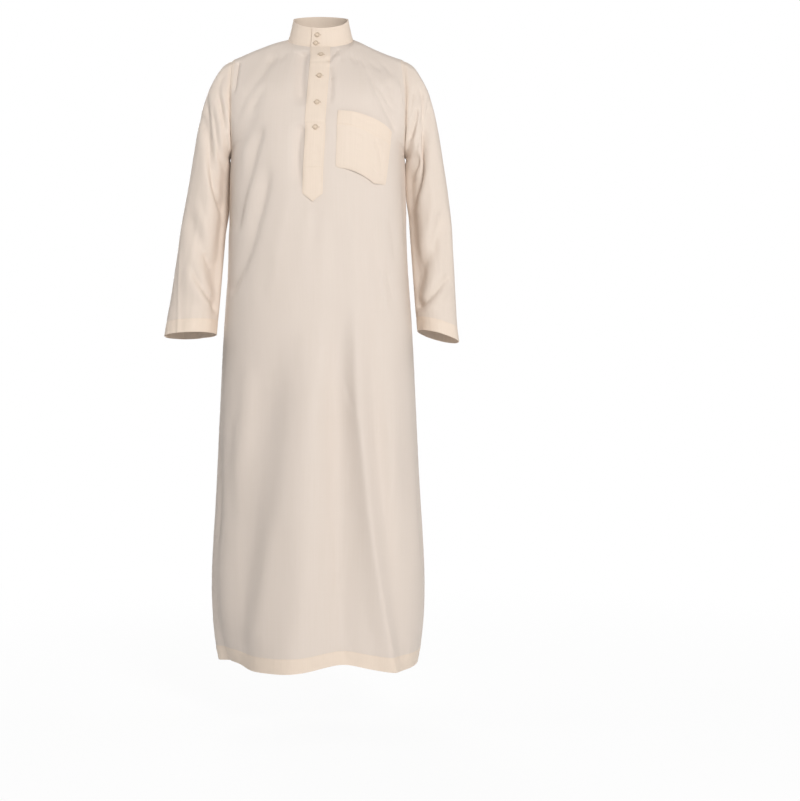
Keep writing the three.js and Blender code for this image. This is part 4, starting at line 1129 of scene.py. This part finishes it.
def clothMaterial():
    look = clothLook
    material, wire, shader = newMaterial("creamCloth")
    uv = wire.node("ShaderNodeUVMap", {"uv_map": "cut"})
    turns = 2 * math.pi / look["threadPitch"]
    threads = []
    for way in (0, 1):
        along = wire.node("ShaderNodeSeparateXYZ", None, {0: uv}, way)
        threads.append(wire.node("ShaderNodeMath", {"operation": "SINE"}, {0: along * turns}))
    weave = threads[0] * threads[1]
    slub = slubs(wire, uv, *look["slub"])
    weftSlub = slubs(wire, uv, *look["weftSlub"])
    cloudy = noise(wire, objectPlace(wire), *look["clouds"], Roughness=0.55)
    layers = wire.node("ShaderNodeAttribute", {"attribute_name": "doubled"}, None, 2)
    colour = tint(wire, layers, look["single"], look["doubled"])
    a, b, c = look["streaks"]
    streaks = (slub - 0.5) * a + (weftSlub - 0.5) * b + (cloudy - 0.5) * c
    fade = wire.node("ShaderNodeClamp", None, {0: streaks + 0.05})
    a, b, c = look["heights"]
    height = weave * a + (slub - 0.5) * b + (weftSlub - 0.5) * c
    wire.feed(shader, {
        "Base Color": tint(wire, fade, colour, look["streak"]),
        "Roughness": look["roughness"] + (slub - 0.5) * 0.16 + (cloudy - 0.5) * 0.06,
        "Normal": relief(wire, height, *look["relief"]),
        "Sheen Weight": look["sheen"],
        "Sheen Roughness": look["sheenRoughness"],
        "Sheen Tint": look["sheenTint"],
        "Specular IOR Level": look["specular"],
    })
    return material


def threadMaterial(name, light, dark):
    material, wire, shader = newMaterial(name)
    grain = noise(wire, objectPlace(wire), 900, 2)
    wire.feed(shader, {
        "Base Color": tint(wire, grain, light, dark),
        "Normal": relief(wire, grain, 0.3, 0.0001),
        "Roughness": 0.6,
        "Sheen Weight": 0.2,
    })
    return material


buttonToneAndRimShade = {
    # the rim colours are the button's own darker tone with painted shade around its edge; the middle keeps
    # the lighter cloth tone
    "rim": ((0.66, 0.54, 0.42, 1), (0.56, 0.45, 0.34, 1)),
    "middle": (0.80, 0.67, 0.55, 1),
    "gloss": 0.3,
}


def buttonMaterial():
    look = buttonToneAndRimShade
    material, wire, shader = newMaterial("creamButtonRimShaded")
    cloudy = noise(wire, objectPlace(wire), 240, 3, Distortion=0.8)
    # the darker rim colour paints shade around the button's edge, on top of its own tone
    inside = wire.node("ShaderNodeAttribute", {"attribute_name": "inside"}, None, 2)
    wire.feed(shader, {
        "Base Color": tint(wire, inside, tint(wire, cloudy, *look["rim"]), look["middle"]),
        "Roughness": look["gloss"] + cloudy * 0.16,
        "Normal": relief(wire, cloudy, 0.08, 0.0002),
    })
    return material


creamCloth = clothMaterial()
creamThread = threadMaterial("creamThread", (0.80, 0.68, 0.55, 1), (0.66, 0.53, 0.40, 1))
# the buttonhole thread is dark brown: its own colour with painted shade of the slit
buttonholeThreadAndShade = threadMaterial("buttonholeThreadAndShade", (0.56, 0.45, 0.34, 1), (0.42, 0.33, 0.24, 1))
creamButtonRimShaded = buttonMaterial()


def newTree(name, inputs):
    tree = bpy.data.node_groups.new(name, "GeometryNodeTree")
    for way in ("INPUT", "OUTPUT"):
        tree.interface.new_socket("Geometry", in_out=way, socket_type="NodeSocketGeometry")
    identifiers = {}
    for label, kind in inputs.items():
        made = tree.interface.new_socket(label, in_out="INPUT", socket_type="NodeSocket" + kind)
        identifiers[label] = made.identifier
    wire = Wire(tree)
    given = {label: wire.node("NodeGroupInput", output=label) for label in ("Geometry", *inputs)}
    return wire, identifiers, given


def setOnPoints(wire, points, shape, way, size, finish):  # the shape stands on each point, turned its way
    turned = wire.node("FunctionNodeAlignRotationToVector", {"axis": "Z"}, {"Vector": way})
    sockets = {"Points": points, "Instance": shape, "Rotation": turned, "Scale": size}
    placed = wire.node("GeometryNodeInstanceOnPoints", None, sockets)
    whole = wire.node("GeometryNodeRealizeInstances", None, {"Geometry": placed})
    painted = wire.node("GeometryNodeSetMaterial", None, {"Geometry": whole, "Material": finish})
    wire.node("NodeGroupOutput", None, {"Geometry": painted})


def stitchTree():
    inputs = {"Pitch": "Float", "Size": "Vector", "Thread": "Material"}
    wire, identifiers, given = newTree("runningStitch", inputs)
    path = wire.node("GeometryNodeMeshToCurve", None, {"Mesh": given["Geometry"]})
    sockets = {"Curve": path, "Length": given["Pitch"]}
    spots = wire.node("GeometryNodeResampleCurve", {"mode": "LENGTH"}, sockets)
    ball = wire.node("GeometryNodeMeshUVSphere", None, {"Segments": 6, "Rings": 4})
    way = wire.node("GeometryNodeInputTangent")
    setOnPoints(wire, spots, ball, way, given["Size"], given["Thread"])
    return wire.tree, identifiers


def buttonTree():
    wire, identifiers, given = newTree("sewnButtons", {"Button": "Object", "Finish": "Material"})
    model = wire.node("GeometryNodeObjectInfo", None, {"Object": given["Button"]}, "Geometry")
    kind = {"data_type": "FLOAT_VECTOR"}
    way = wire.node("GeometryNodeInputNamedAttribute", kind, {"Name": "outward"}, "Attribute")
    setOnPoints(wire, given["Geometry"], model, way, (1, 1, 1), given["Finish"])
    return wire.tree, identifiers


def grown(name, source, tree, identifiers, values):  # a plain mesh from a source and a node tree
    modifier = source.modifiers.new("grow", "NODES")
    modifier.node_group = tree
    for label, value in values.items():
        modifier[identifiers[label]] = value
    bpy.context.view_layer.update()
    evaluated = source.evaluated_get(bpy.context.evaluated_depsgraph_get())
    mesh = bpy.data.meshes.new_from_object(evaluated)
    mesh.name = name
    source.modifiers.clear()
    bpy.data.objects.remove(source)
    mesh.polygons.foreach_set("use_smooth", [True] * len(mesh.polygons))
    return linked(name, mesh)


runningStitch = stitchTree()
sewnButtons = buttonTree()


def stitchedLines(name, lines, thread=creamThread, **other):
    kit = {**stitching, **other}
    points = []
    edges = []
    for line in lines:
        start = len(points)
        points += [tuple(p * 0.001) for p in line]
        edges += [(i, i + 1) for i in range(start, len(points) - 1)]
    mesh = bpy.data.meshes.new(name + "Path")
    mesh.from_pydata(points, edges, [])
    size = [kit[key] * 0.0005 for key in ("threadWidth", "threadWidth", "length")]
    values = {"Pitch": kit["pitch"] * 0.001, "Size": size, "Thread": thread}
    return grown(name, linked(name + "Path", mesh), *runningStitch, values)


def gridLine(grid, rowAt, colAt):  # a line over a grid's outer face at fractional rows and columns
    outer = grid["outer"]
    normals = grid["normals"]
    j = np.clip(np.floor(rowAt).astype(int), 0, outer.shape[0] - 2)
    i = np.clip(np.floor(colAt).astype(int), 0, outer.shape[1] - 2)
    g = (rowAt - j)[:, None]
    f = (colAt - i)[:, None]

    def read(values):
        upper = mix(values[j, i], values[j, i + 1], f)
        return mix(upper, mix(values[j + 1, i], values[j + 1, i + 1], f), g)

    return read(outer) + unit(read(normals)) * stitching["proud"]


def constant(value, count):
    return np.full(count, float(value))


def hemLine(grid):
    depth = bodyRows[-1]["down"] - stitching["hemAbove"]
    row = np.interp(depth, grid["downs"][:, 0], np.arange(len(grid["downs"])))
    cols = np.arange(grid["outer"].shape[1] * 2 - 1) / 2
    return gridLine(grid, constant(row, len(cols)), cols)


hemStitches = stitchedLines("hemStitches", [hemLine(grid) for grid in (front, back)])

cuffLines = []
armLines = []
for grid in sleeveGrids.values():
    toEnd = grid["toEnd"][-40:]
    cols = np.arange(toEnd.shape[1])
    rows = np.arange(len(grid["toEnd"]))[-40:]
    rowAt = [np.interp(1 - sleeveCloth["hemDepth"], -toEnd[:, i], rows) for i in cols]
    cuffLines.append(gridLine(grid, np.array(rowAt), cols.astype(float)))
for grid in (front, back):  # the armhole's topstitch lies on the panels
    top = grid["underarmRow"]
    for side in (-1, 1):
        rows = np.arange(0, top + 0.5, 0.5)
        cols = []
        for row in rows:
            edge = grid["toEdge"][int(row)]
            inner = edge[len(edge) // 2 :: side]  # from the middle column out to this side
            steps = np.interp(-stitching["armholeIn"], -inner, np.arange(len(inner)))
            cols.append(len(edge) // 2 + side * steps)
        armLines.append(gridLine(grid, rows, np.array(cols)))
cuffStitches = stitchedLines("cuffStitches", cuffLines)
armholeStitches = stitchedLines("armholeStitches", armLines)


def placketLines():
    kit = placketStrip
    step = 2 * kit["halfWidth"] / (kit["columns"] - 1)
    inset = stitching["placketEdge"]
    edges = (inset / step, kit["columns"] - 1 - inset / step)
    rowStep = (-kit["cornerZ"] - neck["frontFall"]) / (kit["rows"] - 1)
    bottomRow = kit["rows"] - 1 - inset / rowStep
    rows = np.linspace(2, bottomRow, 240)
    sides = [gridLine(placket, rows, constant(edge, 240)) for edge in edges]
    cols = np.linspace(*edges, 40)
    bottom = gridLine(placket, constant(bottomRow, 40), cols)
    boxRows = []
    for col in cols:
        z = placket["outer"][:, int(round(col)), 2]
        boxRows.append(np.interp(-kit["boxLineZ"], -z, np.arange(len(z))))
    return [*sides, bottom, gridLine(placket, np.array(boxRows), cols)]


placketStitches = stitchedLines("placketStitches", placketLines())


def collarLines():
    kit = standCollar
    rowsPerMm = kit["rows"] / (kit["height"] + kit["sink"])
    edge = stitching["collarEdge"]
    firstCol = edge / kit["columnStep"]
    cols = np.linspace(firstCol, len(collar["distance"]) - 1 - firstCol, 330)
    topRow = edge * rowsPerMm
    lowRow = kit["rows"] - (kit["sink"] + stitching["neckSeamAbove"]) * rowsPerMm
    lines = [gridLine(collar, constant(row, 330), cols) for row in (topRow, lowRow)]
    return [*lines, gridLine(collar, np.linspace(topRow, lowRow, 16), constant(firstCol, 16))]


collarStitches = stitchedLines("collarStitches", collarLines())


def pocketLines():
    kit = pocketPatch
    wide = kit["outer"] - kit["inner"]
    tall = kit["topZ"] - kit["bottomZ"]
    lastCol = kit["columns"] - 1
    lastRow = kit["rows"] - 1
    lines = []
    for inset in (stitching["pocketEdge"], stitching["pocketSecond"]):
        c = inset / wide * lastCol
        r = lastRow - inset / tall * lastRow
        rows = np.linspace(0.3, r, 50)
        lines.append(gridLine(pocket, rows, constant(c, 50)))
        lines.append(gridLine(pocket, rows, constant(lastCol - c, 50)))
        lines.append(gridLine(pocket, constant(r, 60), np.linspace(c, lastCol - c, 60)))
    hemRow = kit["hem"] / tall * lastRow
    lines.append(gridLine(pocket, constant(hemRow - 0.7, 60), np.linspace(0.5, lastCol - 0.5, 60)))
    return lines


pocketStitches = stitchedLines("pocketStitches", pocketLines())
seams = [hemStitches, cuffStitches, armholeStitches, placketStitches, collarStitches, pocketStitches]
print("stitches:", [len(piece.data.polygons) for piece in seams])

shirtButton = {
    "radius": 5.6,
    "thick": 2.1,
    "rim": 1.2,
    "rimSlope": 0.8,
    "dish": 0.75,
    "edgeFall": 0.55,
    "edgeReach": 0.6,
    "holeAt": 1.35,
    "holeRadius": 0.55,
    "holeDepth": 1.0,
    "middle": 2.9,  # the thread and the lighter middle, which lies inside the painted rim shade, reach this far
    "underside": ((0, 0.7), (0.6, 0)),  # inset and height
    "barRadius": 0.26,
    "barOverhang": 0.15,
    "barRise": 0.42,
    "rings": 26,
    "spokes": 60,
    "lift": 0.2,
    "placketZ": (-50, -99, -158, -212),
    "collarAt": ((0.645, -8), (0.22, -10.5)),  # share of the height, distance from the centre
    "collarScale": 0.94,
}


def buttonMesh():
    kit = shirtButton
    radius = kit["radius"]
    r = np.linspace(0, 1, kit["rings"]) ** 0.85 * radius
    angle = np.arange(kit["spokes"]) / kit["spokes"] * 2 * math.pi
    x = r[:, None] * np.cos(angle)
    y = r[:, None] * np.sin(angle)
    top = kit["thick"] - kit["dish"] * smooth((radius - kit["rim"] - r) / kit["rimSlope"])[:, None] + 0 * x
    top -= kit["edgeFall"] * smooth((r - radius + kit["edgeReach"]) / kit["edgeReach"])[:, None]
    for hx in (-1, 1):
        for hy in (-1, 1):
            far = np.hypot(x - hx * kit["holeAt"], y - hy * kit["holeAt"])
            top -= kit["holeDepth"] * smooth((kit["holeRadius"] + 0.16 - far) / 0.3)
    points = [(0, 0, kit["thick"] - kit["dish"])]
    for j in range(1, len(r)):
        points += list(zip(x[j], y[j], top[j]))
    for reach, z in kit["underside"]:
        points += [((radius - reach) * math.cos(a), (radius - reach) * math.sin(a), z) for a in angle]
    points.append((0, 0, 0))
    n = kit["spokes"]
    faces = [(0, 1 + i, 1 + (i + 1) % n) for i in range(n)]
    rings = len(r) + 1
    for j in range(rings - 1):
        start = 1 + j * n
        for i in range(n):
            after = (i + 1) % n
            faces.append((start + i, start + n + i, start + n + after, start + after))
    start = 1 + (rings - 1) * n
    last = len(points) - 1
    faces += [(last, start + (i + 1) % n, start + i) for i in range(n)]
    barReach = kit["holeAt"] + kit["barOverhang"]
    for side in (1, -1):  # two thread bars over the holes
        ring = len(points)
        for t in np.linspace(0, 1, 9):
            reach = mix(-barReach, barReach, t)
            lift = kit["thick"] - kit["dish"] - 0.1 + kit["barRise"] * math.sin(t * math.pi) ** 0.6
            for a in np.arange(6) / 6 * 2 * math.pi:
                across = kit["holeAt"] * side + kit["barRadius"] * math.cos(a)
                points.append((reach, across, lift + kit["barRadius"] * math.sin(a)))
        for j in range(8):
            for i in range(6):
                a = ring + j * 6 + i
                b = ring + j * 6 + (i + 1) % 6
                faces.append((a, b, b + 6, a + 6))
        faces.append(tuple(ring + i for i in reversed(range(6))))
        faces.append(tuple(ring + 48 + i for i in range(6)))
    mesh = bpy.data.meshes.new("shirtButton")
    mesh.from_pydata([(a * 0.001, b * 0.001, c * 0.001) for a, b, c in points], [], faces)
    # inside marks the lighter middle; outside it the rim takes the darker colour, which paints shade at the
    # button's edge
    inside = mesh.attributes.new("inside", "FLOAT", "POINT")
    spread = np.hypot(np.array(points)[:, 0], np.array(points)[:, 1])
    inside.data.foreach_set("value", smooth((kit["middle"] - spread) / 0.6).astype(np.float32))
    work = bmesh.new()
    work.from_mesh(mesh)
    bmesh.ops.recalc_face_normals(work, faces=work.faces)
    work.to_mesh(mesh)
    work.free()
    return mesh


def placedButtons(name, spots, scale=1.0):
    shape = buttonMesh()
    shape.transform(Matrix.Scale(scale, 4))
    model = linked(name + "Model", shape)
    mesh = bpy.data.meshes.new(name + "Points")
    mesh.from_pydata([tuple(p * 0.001) for p, _ in spots], [], [])
    outward = mesh.attributes.new("outward", "FLOAT_VECTOR", "POINT")
    outward.data.foreach_set("vector", np.array([n for _, n in spots], np.float32).ravel())
    source = linked(name + "Points", mesh)
    piece = grown(name, source, *sewnButtons, {"Button": model, "Finish": creamButtonRimShaded})
    bpy.data.objects.remove(model)
    return piece


def seat(grid, row, col, nearestRow):  # a point a little over the cloth, and the way it faces
    point = gridLine(grid, np.array([row]), np.array([col]))[0]
    normal = grid["normals"][nearestRow, int(round(col))]
    return point - normal * (stitching["proud"] - shirtButton["lift"]), normal


def onPlacket(across, z):
    kit = placketStrip
    col = (across + kit["halfWidth"]) / (2 * kit["halfWidth"]) * (kit["columns"] - 1)
    heights = placket["outer"][:, int(round(col)), 2]
    row = np.interp(-z, -heights, np.arange(len(heights)))
    return seat(placket, row, col, int(row))


def onCollar(share, across):
    col = np.interp(across, collar["distance"], np.arange(len(collar["distance"])))
    row = (1 - share) * standCollar["rows"]
    return seat(collar, row, col, int(round(row)))


onPlacketAt = [onPlacket(0, z) for z in shirtButton["placketZ"]]
onCollarAt = [onCollar(*spot) for spot in shirtButton["collarAt"]]
placketButtons = placedButtons("placketButtons", onPlacketAt)
collarButtons = placedButtons("collarButtons", onCollarAt, shirtButton["collarScale"])

buttonhole = {
    "span": (-7.0, 8.2),
    "halfHeight": 0.75,
    "sink": 0.05,
    "stitch": dict(pitch=0.75, length=1.1, threadWidth=0.75),
}


def buttonholeLines(place, spots):
    lines = []
    for spot in spots:
        for up in (-buttonhole["halfHeight"], buttonhole["halfHeight"]):
            seats = [place(spot, across, up) for across in np.linspace(*buttonhole["span"], 14)]
            lines.append(np.array([point - normal * buttonhole["sink"] for point, normal in seats]))
    return lines


def placketHole(z, across, up):
    return onPlacket(across, z + up)


def collarHole(spot, across, up):
    share, centre = spot
    return onCollar(share + up / standCollar["height"], centre + across)


holeLines = buttonholeLines(placketHole, shirtButton["placketZ"])
holeLines += buttonholeLines(collarHole, shirtButton["collarAt"])
# buttonhole stitches in the dark thread, whose colour also paints the shade of the slit
buttonholes = stitchedLines("buttonholes", holeLines, buttonholeThreadAndShade, **buttonhole["stitch"])
print("buttons and buttonholes made")

for piece in (frontPiece, backPiece, *sleevePieces.values(), collarPiece, placketPiece, pocketPiece):
    piece.data.materials.append(creamCloth)

replaced = [
    (frontPiece, "cloth", ["front_panel"]),
    (backPiece, "cloth", ["back_panel"]),
    (sleevePieces["right"], "cloth", ["sleeve_right"]),
    (sleevePieces["left"], "cloth", ["sleeve_left"]),
    (collarPiece, "doubled_cloth", ["collar"]),
    (placketPiece, "doubled_cloth", ["placket"]),
    (pocketPiece, "doubled_cloth", ["chest_pocket"]),
    (placketButtons, "button", [f"placket_button_{i}" for i in (1, 2, 3, 4)]),
    (collarButtons, "button", ["collar_button_1", "collar_button_2"]),
    *((piece, "doubled_cloth", []) for piece in (*seams, buttonholes)),
]
for piece, finish, nodes in replaced:
    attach(piece, "root")
    if nodes:
        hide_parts(*nodes)

studio = {
    "floorZ": -1.465,
    "floorRadius": 7,
    "floorFade": (1.6, 3.0),  # distances from the origin between which it turns white
    "floorGlow": 0.93,
    "floorBounce": 0.12,
    "worldLight": 0.14,
    "cameraDistance": 3.3,
    "cameraZ": -0.777,
    "frameHeight": 1.722,
    "shift": 82 / 801,
    "sensor": 36,
}
white = (1, 1, 1, 1)
studioLights = {  # place, aim, size, power, colour and spread
    "keyLight": ((1.9, -5.7, 1.35), (0, 0, -0.7), 1.7, 275, (1.0, 0.99, 0.975)),
    "leftFill": ((-1.9, -0.5, 1.3), (0, 0, 0), 1.2, 1.8, white[:3], 70),
    "leftRim": ((-2.3, 0.5, 0.7), (0, 0, -0.4), 1.6, 12, white[:3]),
    "rightRim": ((2.3, 0.5, 0.7), (0, 0, -0.4), 1.6, 12, white[:3]),
    "backLight": ((-0.9, 3.6, 0.5), (0, 0, -0.6), 2.2, 80, white[:3]),
}


def makeFloor():
    kit = studio
    mesh = bpy.data.meshes.new("floor")
    work = bmesh.new()
    bmesh.ops.create_circle(work, cap_ends=True, segments=96, radius=kit["floorRadius"])
    for vertex in work.verts:
        vertex.co.z = kit["floorZ"]
    work.to_mesh(mesh)
    work.free()
    floor = linked("floor", mesh)
    material, wire, shader = newMaterial("paleFloor")
    far = wire.node("ShaderNodeVectorMath", {"operation": "LENGTH"}, {0: objectPlace(wire)}, 1)
    start, stop = kit["floorFade"]
    sockets = {0: far, 1: start, 2: stop, 3: kit["floorGlow"], 4: 1.0}
    share = wire.node("ShaderNodeMapRange", {"interpolation_type": "SMOOTHSTEP"}, sockets)
    seen = wire.node("ShaderNodeLightPath")
    share = seen * (share - kit["floorBounce"]) + kit["floorBounce"]
    glow = wire.node("ShaderNodeEmission", None, {"Color": white, "Strength": 1.0})
    wire.feed(shader, {"Base Color": (0.93, 0.93, 0.93, 1), "Roughness": 0.9})
    blend = {0: share, 1: Wire(wire.tree, shader.outputs[0]), 2: glow}
    lit = wire.node("ShaderNodeMixShader", None, blend)
    wire.feed(wire.tree.nodes["Material Output"], {"Surface": lit})
    mesh.materials.append(material)


def makeLight(name, place, aim, size, power, colour, spread=180):
    data = bpy.data.lights.new(name, "AREA")
    data.shape = "DISK"
    data.size = size
    data.energy = power
    data.color = colour
    data.spread = math.radians(spread)
    light = linked(name, data)
    light.location = place
    light.rotation_euler = (Vector(aim) - Vector(place)).to_track_quat("-Z", "Y").to_euler()


def makeWorld():
    world = bpy.data.worlds.new("studio")
    world.use_nodes = True
    bpy.context.scene.world = world
    wire = Wire(world.node_tree)
    back = world.node_tree.nodes["Background"]
    wire.feed(back, {"Color": white, "Strength": studio["worldLight"]})
    seen = wire.node("ShaderNodeBackground", None, {"Color": white})
    choice = {0: wire.node("ShaderNodeLightPath"), 1: Wire(wire.tree, back.outputs[0]), 2: seen}
    lit = wire.node("ShaderNodeMixShader", None, choice)
    wire.feed(world.node_tree.nodes["World Output"], {"Surface": lit})


def makeCamera():
    kit = studio
    data = bpy.data.cameras.new("camera")
    data.sensor_fit = "VERTICAL"
    data.sensor_width = kit["sensor"]
    data.sensor_height = kit["sensor"]
    data.lens = kit["sensor"] * kit["cameraDistance"] / kit["frameHeight"]
    data.shift_x = kit["shift"]
    camera = linked("camera", data)
    camera.location = (0, -kit["cameraDistance"], kit["cameraZ"])
    camera.rotation_euler = (math.pi / 2, 0, 0)
    bpy.context.scene.camera = camera


makeFloor()
makeWorld()
for name, values in studioLights.items():
    makeLight(name, *values)
makeCamera()
bpy.context.scene.view_settings.view_transform = "Standard"
print("studio made")
